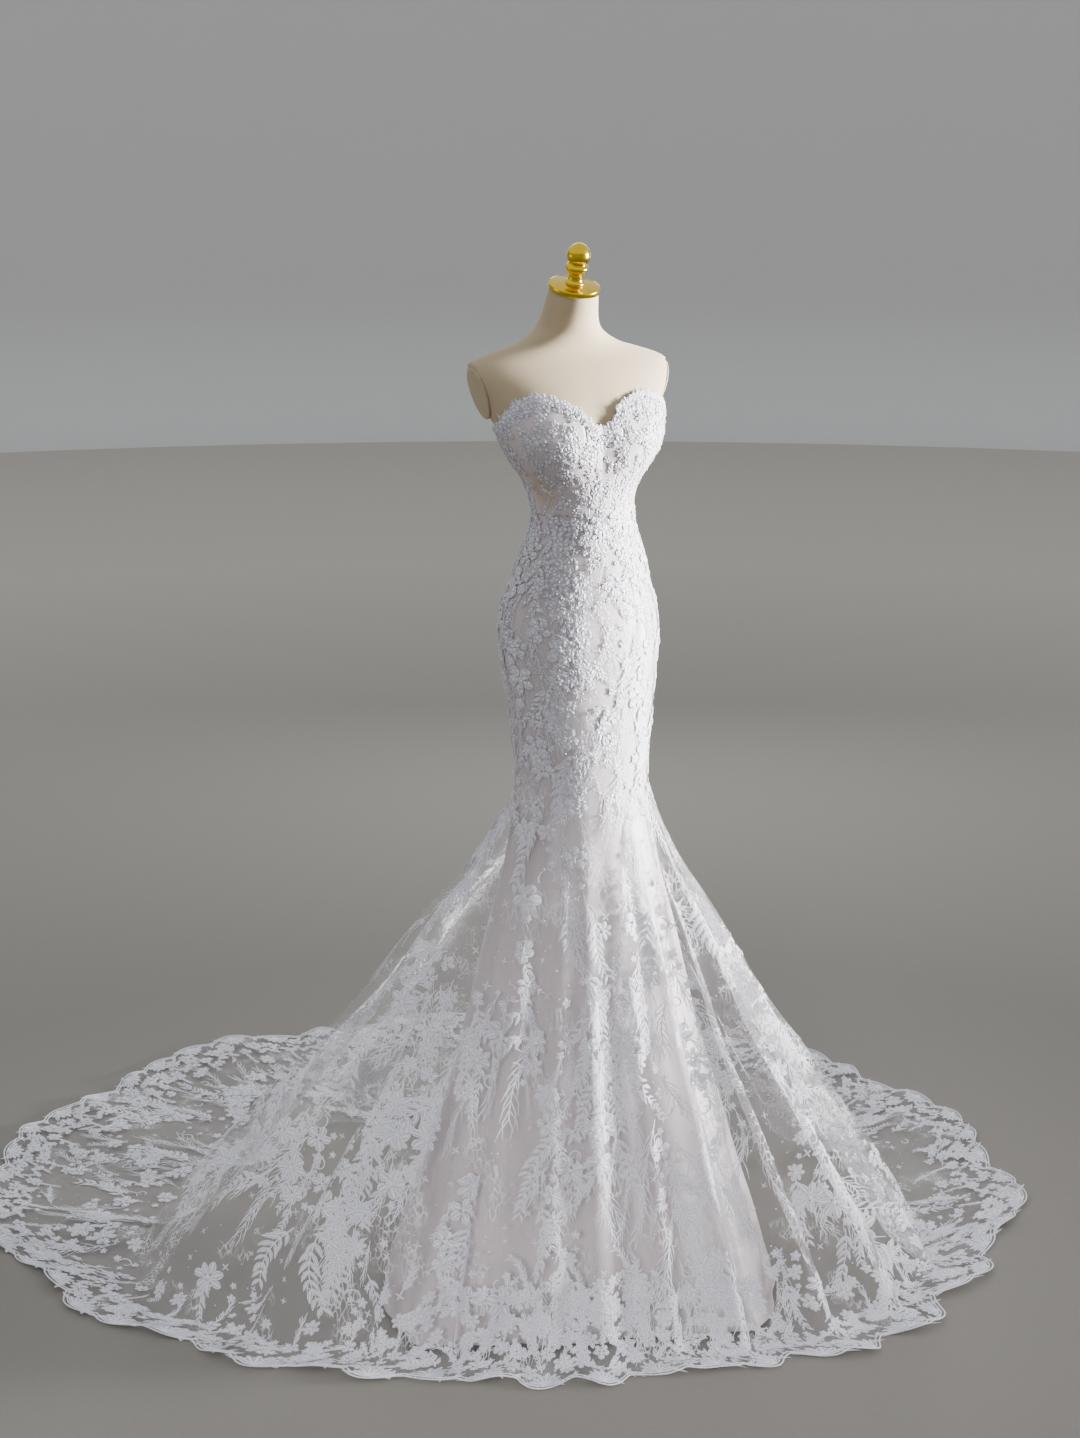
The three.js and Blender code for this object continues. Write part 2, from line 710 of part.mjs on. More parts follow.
// Solid of revolution about Z from [radius, height] pairs that start and end on the axis
function turnedSolid(profile, segments) {
  const points = profile.map(([r, h]) => new THREE.Vector2(r, h));
  const geometry = new THREE.LatheGeometry(points, segments);
  geometry.rotateX(Math.PI / 2);
  return mergeVertices(plain(geometry));
}

const FINIAL_PROFILE = [
  [0, 0],
  [17, 0],
  [18, 5],
  [13, 9],
  [12.5, 20],
  [18, 25],
  [22, 32],
  [19, 38],
  [15, 41],
  [20, 46],
  [22.5, 55],
  [20, 65],
  [14, 73],
  [6, 78],
  [0, 79],
];

function addNeckFittings(material) {
  const capProfile = [[0, 0], [CAP_RADIUS, 0], [CAP_RADIUS, CAP_THICK], [0, CAP_THICK]];
  const cap = turnedSolid(capProfile, ROUND_STEPS.cap);
  const finial = turnedSolid(FINIAL_PROFILE, ROUND_STEPS.finial);
  const lean = (mesh, height) => {
    mesh.rotation.x = NECK_TILT;
    mesh.position.set(
      0,
      CAP_CENTRE.y - Math.sin(NECK_TILT) * height,
      CAP_CENTRE.z + Math.cos(NECK_TILT) * height,
    );
  };
  lean(addPiece("neck_cap", cap, material), 0);
  lean(addPiece("neck_finial", finial, material), CAP_THICK + SEAM_GAP);
}

const HUB = { radius: 34, height: 46, taper: 8 };
const BASE_BEVEL = 4;
function addStand(material) {
  const base = turnedSolid(
    [
      [0, 0],
      [BASE_RADIUS, 0],
      [BASE_RADIUS, BASE_THICK - BASE_BEVEL],
      [BASE_RADIUS - BASE_BEVEL, BASE_THICK],
      [HUB.radius, BASE_THICK + BASE_BEVEL],
      [HUB.radius - HUB.taper, HUB.height],
      [0, HUB.height],
    ],
    ROUND_STEPS.base,
  );
  const start = HUB.height + SEAM_GAP;
  const end = FORM_BOTTOM_Z - SEAM_GAP;
  const poleProfile = [[0, start], [POLE_RADIUS, start], [POLE_RADIUS, end], [0, end]];
  const pole = turnedSolid(poleProfile, ROUND_STEPS.pole);
  addPiece("stand_base", base, material);
  addPiece("stand_pole", pole, material);
}

const lace = finish(0xf1f1f6, 0.75, 0);
const satin = finish(0xb9b2b6, 0.45, 0);
const jersey = finish(0xd8cdbc, 0.85, 0);
const brass = finish(0xd4b81e, 0.2, 1);
const steel = finish(0xb8b8b8, 0.35, 0.9);

addTorso(jersey);
addArmPlates(jersey);
addNeckFittings(brass);
addStand(steel);
addBodice(lace);
addNecklineTrim(lace);
addPlacket(lace);
addLinings(satin);
addGores(lace);
addBands(lace);

export default object;
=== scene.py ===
"""Lace mermaid gown on a limbless dress form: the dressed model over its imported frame."""

import math

import bmesh
import bpy
import numpy as np
from bpy.props import FloatProperty, FloatVectorProperty, IntProperty, PointerProperty
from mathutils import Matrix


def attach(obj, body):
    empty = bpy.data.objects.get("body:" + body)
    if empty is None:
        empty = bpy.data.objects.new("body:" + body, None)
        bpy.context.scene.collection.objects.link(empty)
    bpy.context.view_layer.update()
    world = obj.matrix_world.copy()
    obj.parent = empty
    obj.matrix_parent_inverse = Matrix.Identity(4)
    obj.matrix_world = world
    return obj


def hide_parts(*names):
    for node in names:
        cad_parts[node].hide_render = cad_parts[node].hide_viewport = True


bl_info = {
    "name": "Lace mermaid gown",
    "version": (1, 0, 0),
    "blender": (4, 5, 0),
    "location": "3D View > Sidebar > Gown",
    "description": "Dresses the packed frame of a lace mermaid gown on its form",
    "category": "Object",
}

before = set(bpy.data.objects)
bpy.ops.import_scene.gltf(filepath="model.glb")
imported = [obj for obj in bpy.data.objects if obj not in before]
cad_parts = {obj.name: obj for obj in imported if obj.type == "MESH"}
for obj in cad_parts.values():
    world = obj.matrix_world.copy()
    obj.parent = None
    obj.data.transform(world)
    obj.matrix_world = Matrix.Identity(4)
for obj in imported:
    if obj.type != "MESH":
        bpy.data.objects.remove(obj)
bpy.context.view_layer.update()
MM = 0.001

# The gown's shape, in millimetres and degrees from centre front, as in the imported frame
WAIST_Z, KNEE_Z = 1610.0, 1080.0
BAND_WIDTH, SCALLOP_DEPTH, SCALLOP_PITCH = 130.0, 22.0, 116.0
LACE_THICK, BODICE_THICK, LINING_OUT, FORM_OUT = 1.5, 2.4, -1.9, -7.0
LINING_REACH, LINING_CLEAR, LINING_EASE, LINING_HEM_Z = 425.0, 45.0, 20.0, 15.0
FORM_BOTTOM_Z, NECK_TOP_Z, NECK_LEAN_Z, NECK_LEAN_OVER = 1240.0, 2012.0, 1930.0, 60.0
NECK_TILT = math.radians(18)
CAP_CENTRE = (0.0, 41.0, 2012.4)
ARM_PLANE_Z, ARM_PLANE_X, ARM_PLANE_SLOPE = 1760.0, 158.0, 0.33

# Height, how far back the middle stands, half width, depth in front and behind
SECTIONS = np.array([
    (1080, 0, 133, 106, 106), (1139, 2, 134, 107, 107), (1214, 4, 142, 109, 111),
    (1291, 8, 151, 110, 118), (1363, 12, 159, 110, 120), (1415, 14, 156, 106, 120),
    (1446, 14, 149, 102, 115), (1478, 10, 139, 98, 106), (1511, 6, 129, 93, 96),
    (1541, 3, 118, 89, 88), (1579, 0, 104, 82, 80), (1604, 0, 100, 80, 78),
    (1636, 2, 102, 82, 80), (1666, 5, 112, 87, 86), (1690, 8, 127, 92, 92),
    (1718, 12, 145, 97, 98), (1757, 20, 162, 100, 100), (1779, 35, 172, 112, 92),
    (1810, 52, 188, 112, 84), (1829, 60, 200, 108, 80), (1858, 66, 214, 92, 74),
    (1880, 68, 208, 72, 66), (1892, 69, 184, 62, 61), (1902, 70, 152, 57, 58),
    (1914, 70, 112, 55, 58), (1936, 68, 76, 56, 60), (1960, 60, 62, 54, 56),
    (2012, 41, 52, 51, 51),
], float)
CUP = {"angle": 32, "z": 1745, "rise": 27, "wide": 21, "tall": 44}
NECKLINE = np.array([
    (0, 1768), (6, 1779), (14, 1806), (24, 1822), (34, 1826), (46, 1815),
    (60, 1795), (75, 1775), (90, 1764), (110, 1755), (140, 1742), (180, 1732),
], float)
# z, share of the way from the knee to the touch line
FLARE = np.array([
    (1080, 0), (1030, 0.02), (980, 0.056), (906, 0.112), (806, 0.21), (706, 0.3), (582, 0.405),
    (414, 0.59), (304, 0.7), (191, 0.825), (100, 0.91), (40, 0.965), (10, 0.99), (1.5, 1),
], float)
# Angle, radius where the lace meets the floor, radius of the hem
PLAN = np.array([
    (-180, 920, 1500), (-165, 920, 1540), (-150, 920, 1485), (-137, 915, 1430),
    (-126, 905, 1275), (-115, 880, 1080), (-104, 790, 890), (-97, 705, 775), (-88, 600, 665),
    (-75, 465, 525), (-60, 370, 420), (-40, 322, 368), (-18, 308, 352), (2, 308, 350),
    (14, 345, 395), (31, 415, 468), (40, 495, 560), (50, 580, 648), (63, 655, 740),
    (72, 700, 820), (82, 735, 950), (93, 770, 1083), (101, 800, 1143), (114, 845, 1250),
    (127, 880, 1310), (140, 900, 1380), (160, 915, 1460), (180, 920, 1500),
], float)
# Angle of each crest and its rise
FOLDS = np.array([
    (-165, 24), (-146, 20), (-126, 30), (-108, 27), (-91, 24), (-75, 17), (-58, 13), (-38, 9),
    (-16, 8), (8, 12), (26, 17), (41, 27), (55, 30), (70, 32), (88, 27), (108, 24), (130, 29),
    (148, 20), (165, 25),
], float)
TROUGH_SHARE = 0.6
# Height and the strength of the folds there
FOLD_STRENGTH = np.array([
    (0, 0.8), (60, 0.95), (300, 1), (600, 0.7), (850, 0.35), (1000, 0.12), (1080, 0),
], float)
FLOOR_STRENGTH = (0.8, 0.16)  # where the cloth touches the floor, and at its hem
LOBE_PUSH = (0.6, 1.1)  # a crest's push outwards at the touch line and at the hem
TROUGH_FADE_Z = 60.0
HANG_STEPS, FLOOR_STEPS, LOOK_ALONG = 40, 8, 25
GORES = {
    "skirt_front": (-27, 17), "skirt_front_left": (17, 62.5), "skirt_side_left": (62.5, 119),
    "skirt_back_left": (119, 180), "skirt_back_right": (180, 243),
    "skirt_side_right": (243, 293.5), "skirt_front_right": (293.5, 333),
}
BANDS = {
    "hem_border_front": (-66.5, 62.5), "hem_border_left": (62.5, 119),
    "hem_border_train": (119, 243), "hem_border_right": (243, 293.5),
}
BODICE_PANELS = {
    "bodice_front_centre": (-12, 12), "bodice_cup_left": (12, 54), "bodice_side_left": (54, 114),
    "bodice_back_left": (114, 180), "bodice_back_right": (180, 246),
    "bodice_side_right": (246, 306), "bodice_cup_right": (306, 348),
}

# Small soft creases that the cloth has between its large folds: angle at the top and at the
# bottom, where it starts and ends (mm down from the knee), depth and half width (degrees)
CREASES = np.array([
    (-38, -38, 40, 1350, -6, 6.0), (-16, -16, 40, 1350, -6, 6.0), (8, 8, 40, 1350, -5, 6.5),
    (-60, -61, 60, 1300, 10, 3.6),
    (-12, -9, 120, 1000, -2, 2.2), (-2, 1, 300, 1100, 2.5, 1.6), (14, 18, 160, 1150, 4, 1.8),
    (20, 24, 260, 1200, -6, 1.5), (34, 35, 300, 1300, 8, 1.6), (47, 48, 350, 1400, -8, 1.6),
    (62, 60, 260, 1500, 8, 1.8), (78, 82, 300, 1500, -8, 2.0), (97, 95, 350, 1700, 9, 2.2),
    (118, 121, 300, 1800, -9, 2.2), (139, 137, 350, 1900, 9, 2.4), (158, 156, 300, 1900, -9, 2.2),
    (173, 176, 350, 2000, 9, 2.2), (-173, -170, 300, 2000, -9, 2.4),
    (-156, -158, 350, 1900, 9, 2.2), (-135, -137, 300, 1900, -10, 2.4),
    (-118, -114, 250, 1700, 9, 2.2), (-100, -98, 300, 1600, -8, 2), (-84, -82, 250, 1400, 8, 1.8),
    (-66, -67, 200, 1300, -7, 1.8), (-49, -46, 200, 1200, 7, 1.8), (-30, -29, 150, 1150, -3, 1.8),
], float)
CREASE_GAIN, FLOOR_CREASE = 1.35, 0.35

# Skirt lace: nothing is thinned out within these degrees of the front, or above this run, and past
# these degrees the train keeps this share of its motifs
FRONT_LACE, HIP_RUN = 40.0, 60.0
TRAIN_FROM, TRAIN_SHARE = 105.0, 0.56
FRONT_FILLERS = 260  # more of the border's motifs, stacked above it in front


def read_table(xs, ys, x):
    """Smooth curve through a table at each x: cubic, with the slopes of its neighbours."""
    x = np.asarray(x, float)
    if xs[0] > xs[-1]:
        xs, ys = xs[::-1], ys[::-1]
    last = len(xs) - 1
    i = np.clip(np.searchsorted(xs, x, side="left") - 1, 0, last - 1)
    before, after = np.maximum(i - 1, 0), np.minimum(i + 2, last)
    span = xs[i + 1] - xs[i]
    t = np.clip((x - xs[i]) / span, 0, 1)
    slope_in = (ys[i + 1] - ys[before]) / (xs[i + 1] - xs[before]) * span
    slope_out = (ys[after] - ys[i]) / (xs[after] - xs[i]) * span
    t2, t3 = t * t, t * t * t
    return (
        (2 * t3 - 3 * t2 + 1) * ys[i] + (t3 - 2 * t2 + t) * slope_in
        + (3 * t2 - 2 * t3) * ys[i + 1] + (t3 - t2) * slope_out
    )


def turned(angle):
    """The same angle between -180 and 180 degrees."""
    return angle - 360 * np.round(angle / 360)


def bell(distance, width):
    """Bell curve, 1 at no distance."""
    return np.exp(-0.5 * (distance / width) ** 2)


def arc_of(points):
    """Length along a line of points up to each of them."""
    return np.concatenate([[0], np.cumsum(np.linalg.norm(np.diff(points, axis=0), axis=1))])


def body_point(angle, z, out):
    """Points of the close-fitting body of the gown, in mm, moved out by `out`."""
    angle, z, out = np.broadcast_arrays(
        np.asarray(angle, float), np.asarray(z, float), np.asarray(out, float)
    )
    a = np.radians(angle)
    back, half, front, rear = (read_table(SECTIONS[:, 0], SECTIONS[:, k], z) for k in range(1, 5))
    depth = np.where(np.cos(a) > 0, front, rear)
    off = np.abs(turned(angle)) - CUP["angle"]
    grow = out + CUP["rise"] * bell(off, CUP["wide"]) * bell(z - CUP["z"], CUP["tall"])
    return np.stack([(half + grow) * np.sin(a), back - (depth + grow) * np.cos(a), z], -1)


def neckline_z(angle):
    """Height of the neckline, the same on both sides."""
    return read_table(NECKLINE[:, 0], NECKLINE[:, 1], np.abs(turned(angle)))


def fold_wave(angle):
    """Fold displacement at an angle: crests up, the troughs between them down."""
    here = float(turned(angle))
    crest_at = np.concatenate([FOLDS[-1:, 0] - 360, FOLDS[:, 0], FOLDS[:1, 0] + 360])
    rise = np.concatenate([FOLDS[-1:, 1], FOLDS[:, 1], FOLDS[:1, 1]])
    i = min(max(int(np.searchsorted(crest_at, here)), 1), len(crest_at) - 1)
    t = (here - crest_at[i - 1]) / (crest_at[i] - crest_at[i - 1])
    crest = rise[i - 1] if t < 0.5 else rise[i]
    trough = -TROUGH_SHARE * (rise[i - 1] + rise[i]) / 2
    return trough + (crest - trough) * (1 + math.cos(2 * math.pi * t)) / 2


def skirt_path(angle):
    """Base path of the lace below the knee in the plane of an angle."""
    here = float(turned(angle))
    a = math.radians(here)
    direction = np.array([math.sin(a), -math.cos(a), 0.0])
    wave = fold_wave(here)
    touch = float(read_table(PLAN[:, 0], PLAN[:, 1], here)) + LOBE_PUSH[0] * wave
    hem = float(read_table(PLAN[:, 0], PLAN[:, 2], here)) + LOBE_PUSH[1] * wave
    knee = body_point(here, KNEE_Z, 0)
    z = KNEE_Z + (LACE_THICK - KNEE_Z) * (np.arange(HANG_STEPS + 1) / HANG_STEPS) ** 0.8
    share = read_table(FLARE[:, 0], FLARE[:, 1], z)[:, None]
    hanging = knee + (direction * touch - knee) * share
    hanging[:, 2] = z
    floor = np.arange(1, FLOOR_STEPS + 1)[:, None] / FLOOR_STEPS
    lying = direction * (touch + (hem - touch) * floor)
    lying[:, 2] = LACE_THICK
    points = np.vstack([hanging, lying])
    floor_share = np.concatenate([np.full(HANG_STEPS + 1, -1.0), floor[:, 0]])
    return points, floor_share, arc_of(points), direction, wave


def path_place(path, run):
    """Points of a path, and how far each is from the touch line (0) to the hem (1), or -1."""
    points, floor_share, length, direction, _ = path
    p = np.stack([np.interp(run, length, points[:, k]) for k in range(3)], -1)
    p = p + direction * np.maximum(run - length[-1], 0)[:, None]
    floor = np.interp(run, length, np.maximum(floor_share, 0))
    return p, np.where(run <= length[HANG_STEPS], -1.0, floor)


def skirt_column(angle, run):
    """Points of the lace at one angle for each run, in mm down from the knee, and its hem's run."""
    path = skirt_path(angle)
    direction, wave = path[3], path[4]
    p, floor = path_place(path, run)
    before = np.maximum(run - LOOK_ALONG, 0)
    along = path_place(path, run + LOOK_ALONG)[0] - path_place(path, before)[0]
    along /= np.linalg.norm(along, axis=1)[:, None]
    normal = direction * -along[:, 2:3]
    normal[:, 2] = along @ direction
    normal /= np.linalg.norm(normal, axis=1)[:, None]
    lying = FLOOR_STRENGTH[0] + (FLOOR_STRENGTH[1] - FLOOR_STRENGTH[0]) * floor
    strength = np.where(
        floor < 0, read_table(FOLD_STRENGTH[:, 0], FOLD_STRENGTH[:, 1], p[:, 2]), lying
    )
    hanging = np.where(floor < 0, np.minimum(p[:, 2] / TROUGH_FADE_Z, 1), 0)
    shift = strength * (wave * hanging if wave < 0 else np.full(len(run), wave))
    crease = small_creases(float(turned(angle)), run) * np.where(floor < 0, hanging, FLOOR_CREASE)
    p = p + normal * (shift + crease)[:, None]
    p[:, 2] = np.maximum(p[:, 2], LACE_THICK)
    return p, path[2][-1]


def small_creases(angle, run):
    """Displacement of the small creases at an angle for each run."""
    top, bottom, start, end, depth, wide = CREASES.T[:, :, None]
    along = np.clip((run - start) / (end - start), 0, 1)
    middle = top + (bottom - top) * along
    strength = np.sin(math.pi * along) ** 0.7
    return (CREASE_GAIN * depth * strength * bell(turned(angle - middle), wide)).sum(0)


class Lace:
    """The lace's whole surface as a grid over angle and run, which motifs are laid on."""

    STEP, RUN_STEP, RUN_TOP, RUN_END = 0.5, 8.0, -768.0, 2160.0
    KNEE_BLEND, LOW_Z, EDGE_REACH, WAVE_LENGTH, WAVE_RISE = 60.0, 40.0, 160.0, 250.0, 13.0

    def __init__(self):
        self.angles = np.arange(-180, 180 + self.STEP, self.STEP)
        self.runs = np.arange(self.RUN_TOP, self.RUN_END + 1, self.RUN_STEP)
        above = self.runs < 0
        grid = np.zeros((len(self.angles), len(self.runs), 3))
        self.hem = np.zeros(len(self.angles))
        for i, angle in enumerate(self.angles):
            grid[i, above] = body_point(angle, KNEE_Z - self.runs[above], 0)
            grid[i, ~above], self.hem[i] = skirt_column(angle, self.runs[~above])
        below = self.runs >= 0
        kernel = np.array([1, 2, 3, 4, 3, 2, 1]) / 16
        for _ in range(2):
            padded = np.pad(grid[:, below], ((0, 0), (3, 3), (0, 0)), mode="edge")
            count = int(below.sum())
            soft = sum(k * padded[:, i:i + count] for i, k in enumerate(kernel))
            near_knee = np.clip(self.runs[below] / self.KNEE_BLEND, 0, 1)[None, :, None]
            grid[:, below] += (soft - grid[:, below]) * near_knee
        grid[:, below, 2] += self.flutter(grid[:, below], self.runs[below])
        self.points = grid
        across = np.zeros_like(grid)
        across[1:-1] = grid[2:] - grid[:-2]
        across[0] = across[-1] = grid[1] - grid[-2]
        down = np.gradient(grid, axis=1)
        normal = np.cross(down, across)
        self.normals = normal / np.linalg.norm(normal, axis=2)[:, :, None]
        self.per_degree = np.linalg.norm(across, axis=2) / (2 * self.STEP)

    def flutter(self, points, runs):
        """Small lifts of the cloth's edge where it lies on the floor, in uneven waves."""
        to_hem = self.hem[:, None] - runs[None]
        low = np.clip(1 - points[..., 2] / self.LOW_Z, 0, 1)
        edge = np.clip(1 - to_hem / self.EDGE_REACH, 0, 1)
        hem_row = np.clip((self.hem / self.RUN_STEP).astype(int), 0, len(runs) - 1)
        arc = arc_of(points[np.arange(len(self.angles)), hem_row])
        turns = np.round(arc[-1] / self.WAVE_LENGTH) * 2 * math.pi / arc[-1]
        wave = 0.5 + 0.5 * np.sin(arc * turns + 1.3 * np.sin(arc * turns / 3))
        return self.WAVE_RISE * low * edge * wave[:, None] ** 2

    def read(self, values, angle, run):
        """Value of a grid at each angle and run, between its points."""
        i = (turned(angle) + 180) / self.STEP
        j = np.clip((run - self.RUN_TOP) / self.RUN_STEP, 0, len(self.runs) - 1.001)
        i0 = np.clip(np.floor(i).astype(int), 0, len(self.angles) - 2)
        j0 = j.astype(int)
        s, t = i - i0, j - j0
        if values.ndim == 3:
            s, t = s[..., None], t[..., None]
        top = values[i0, j0] * (1 - s) + values[i0 + 1, j0] * s
        low = values[i0, j0 + 1] * (1 - s) + values[i0 + 1, j0 + 1] * s
        return top * (1 - t) + low * t

    def at(self, angle, run, out):
        """Points in metres, `out` mm off the cloth."""
        angle, run, out = np.broadcast_arrays(
            np.asarray(angle, float), np.asarray(run, float), np.asarray(out, float)
        )
        p = self.read(self.points, angle, run)
        return (p + self.read(self.normals, angle, run) * out[..., None]) * MM

    def hem_run(self, angle):
        """Run of the hem line at an angle."""
        return np.interp(turned(np.asarray(angle, float)), self.angles, self.hem)

    def width(self, angle, run):
        """Millimetres of cloth for each degree."""
        return self.read(self.per_degree, np.asarray(angle, float), np.asarray(run, float))


LACE = Lace()


def add_mesh(name, points, faces):
    """An object at the origin from points in metres and an array of faces."""
    mesh = bpy.data.meshes.new(name)
    sides = faces.shape[1]
    mesh.vertices.add(len(points))
    mesh.vertices.foreach_set("co", np.ascontiguousarray(points, np.float32).ravel())
    mesh.loops.add(faces.size)
    mesh.loops.foreach_set("vertex_index", np.ascontiguousarray(faces, np.int32).ravel())
    mesh.polygons.add(len(faces))
    mesh.polygons.foreach_set("loop_start", np.arange(0, faces.size, sides, dtype=np.int32))
    mesh.polygons.foreach_set("use_smooth", np.full(len(faces), True))
    mesh.update(calc_edges=True)
    made = bpy.data.objects.new(name, mesh)
    bpy.context.scene.collection.objects.link(made)
    return made


def grid_faces(columns, rows, closed=False):
    """Quads of a grid whose points run [column][row], facing out for angle across, run down."""
    spans = columns if closed else columns - 1
    i, j = np.meshgrid(np.arange(spans), np.arange(rows - 1), indexing="ij")
    i, j = i.ravel(), j.ravel()
    nxt = (i + 1) % columns
    return np.stack([i * rows + j, i * rows + j + 1, nxt * rows + j + 1, nxt * rows + j], 1)


def shell_faces(columns, rows):
    """Closed wall of two grids, the outer one first."""
    outer = grid_faces(columns, rows)
    inner = outer[:, ::-1] + columns * rows
    n = columns * rows
    ends = []
    for i in range(columns - 1):
        a, b = i * rows, (i + 1) * rows
        ends.append((a, b, n + b, n + a))
        a, b = i * rows + rows - 1, (i + 1) * rows + rows - 1
        ends.append((a, n + a, n + b, b))
    for j in range(rows - 1):
        a, b = j, j + 1
        ends.append((a, n + a, n + b, b))
        a, b = (columns - 1) * rows + j, (columns - 1) * rows + j + 1
        ends.append((a, b, n + b, n + a))
    return np.vstack([outer, inner, np.array(ends)])


def finish_piece(piece, slot, *nodes):
    """Rides on the body and stands for its CAD nodes; its slot is not used."""
    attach(piece, "root")
    if nodes:
        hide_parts(*nodes)
    return piece


def dressed(name, points, faces, finish, slot, *nodes):
    """A piece of that finish, from points in metres, riding on the body."""
    made = add_mesh(name, points, faces)
    made.data.materials.append(material_for(finish))
    return finish_piece(made, slot, *nodes)


def point_value(made, name, values):
    """Gives each point of a mesh a number that its material reads."""
    layer = made.data.attributes.new(name, "FLOAT", "POINT")
    layer.data.foreach_set("value", values.astype(np.float32))


def linear(code):
    """A linear colour from sRGB hex."""
    parts = [int(code[i:i + 2], 16) / 255 for i in (1, 3, 5)]
    return tuple(p / 12.92 if p <= 0.04045 else ((p + 0.055) / 1.055) ** 2.4 for p in parts)


def add_node(tree, kind, inputs=None, **settings):
    """Adds a node; inputs gives sockets a value, or another node's socket to link from."""
    made = tree.nodes.new(kind)
    for key, value in settings.items():
        setattr(made, key, value)
    for key, value in (inputs or {}).items():
        if isinstance(value, bpy.types.NodeSocket):
            tree.links.new(value, made.inputs[key])
        else:
            made.inputs[key].default_value = value
    return made


def new_material(name):
    """A material with its node tree and shader."""
    material = bpy.data.materials.new(name)
    material.use_nodes = True
    tree = material.node_tree
    shader = tree.nodes["Principled BSDF"]
    return material, tree, shader


def rgba(colour):
    """The colour with full alpha."""
    return (*colour[:3], 1.0)


def embroidery_thread(colours):
    """Rayon embroidery in satin stitch: a soft bright sheen across fine parallel threads."""
    material, tree, shader = new_material("rayon_satin_stitch")
    place = add_node(tree, "ShaderNodeTexCoord").outputs["Object"]
    # Thread is 0.4 mm; drawn at 1.6 mm so that the stitches show
    stitch = add_node(
        tree, "ShaderNodeTexWave",
        {"Vector": place, "Scale": 200.0, "Distortion": 6.0, "Detail": 1.0},
        bands_direction="DIAGONAL",
    )
    tone = add_node(tree, "ShaderNodeTexNoise", {"Vector": place, "Scale": 9.0, "Detail": 3.0})
    colour = add_node(
        tree, "ShaderNodeMix",
        {"Factor": tone.outputs["Fac"], "A": rgba(colours.thread_shade), "B": rgba(colours.thread)},
        data_type="RGBA",
    )
    # Veins and cords part each petal every 7 to 9 mm, with painted shade in the gaps between them
    cords = add_node(
        tree, "ShaderNodeTexVoronoi", {"Vector": place, "Scale": 125.0}, feature="DISTANCE_TO_EDGE"
    )
    height = add_node(tree, "ShaderNodeSeparateXYZ", {"Vector": place})
    # The bodice and hips are the most corded, with the strongest relief and the most painted shade;
    # the skirt's flowers are flatter
    cord_relief_and_shade = add_node(
        tree, "ShaderNodeMapRange",
        {
            "Value": height.outputs["Z"], "From Min": 0.8, "From Max": 1.5,
            "To Min": 0.12, "To Max": 0.8,
        },
    )
    shut = add_node(
        tree, "ShaderNodeMapRange",
        {
            "Value": height.outputs["Z"], "From Min": 0.75, "From Max": 1.2,
            "To Min": 0.55, "To Max": 1.0,
        },
    )
    # Painted shade: the colour darkens towards each cell's edge, in the gaps between the cords
    gap = add_node(
        tree, "ShaderNodeMapRange",
        {
            "Value": cords.outputs["Distance"], "From Min": 0.03, "From Max": 0.16,
            "To Min": cord_relief_and_shade.outputs["Result"], "To Max": 0.0,
        },
    )
    # The thread's colour with painted shade laid in the gaps
    shade_in_gaps = add_node(
        tree, "ShaderNodeMix",
        {"Factor": gap.outputs["Result"], "A": colour.outputs["Result"], "B": rgba(colours.gap)},
        data_type="RGBA",
    )
    # Below the hips a petal has a solid outline and vein and half open work between them
    core = add_node(tree, "ShaderNodeAttribute", attribute_name="core").outputs["Fac"]
    inward = add_node(tree, "ShaderNodeMath", {0: core, 1: 0.5}, operation="SUBTRACT")
    from_band = add_node(tree, "ShaderNodeMath", {0: inward.outputs[0]}, operation="ABSOLUTE")
    open_work = add_node(
        tree, "ShaderNodeMapRange",
        {
            "Value": from_band.outputs[0], "From Min": 0.12, "From Max": 0.3,
            "To Min": shut.outputs["Result"], "To Max": 1.0,
        },
    )
    tree.links.new(open_work.outputs["Result"], shader.inputs["Alpha"])
    relief = add_node(
        tree, "ShaderNodeBump",
        {
            "Height": cords.outputs["Distance"], "Strength": cord_relief_and_shade.outputs["Result"],
            "Distance": 0.004,
        },
    )
    bump = add_node(
        tree, "ShaderNodeBump",
        {
            "Height": stitch.outputs["Fac"], "Strength": 0.4, "Distance": 0.0006,
            "Normal": relief.outputs["Normal"],
        },
    )
    tree.links.new(shade_in_gaps.outputs["Result"], shader.inputs["Base Color"])
    tree.links.new(bump.outputs["Normal"], shader.inputs["Normal"])
    shader.inputs["Roughness"].default_value = 0.46
    shader.inputs["Sheen Weight"].default_value = 0.25
    shader.inputs["Sheen Roughness"].default_value = 0.4
    return material


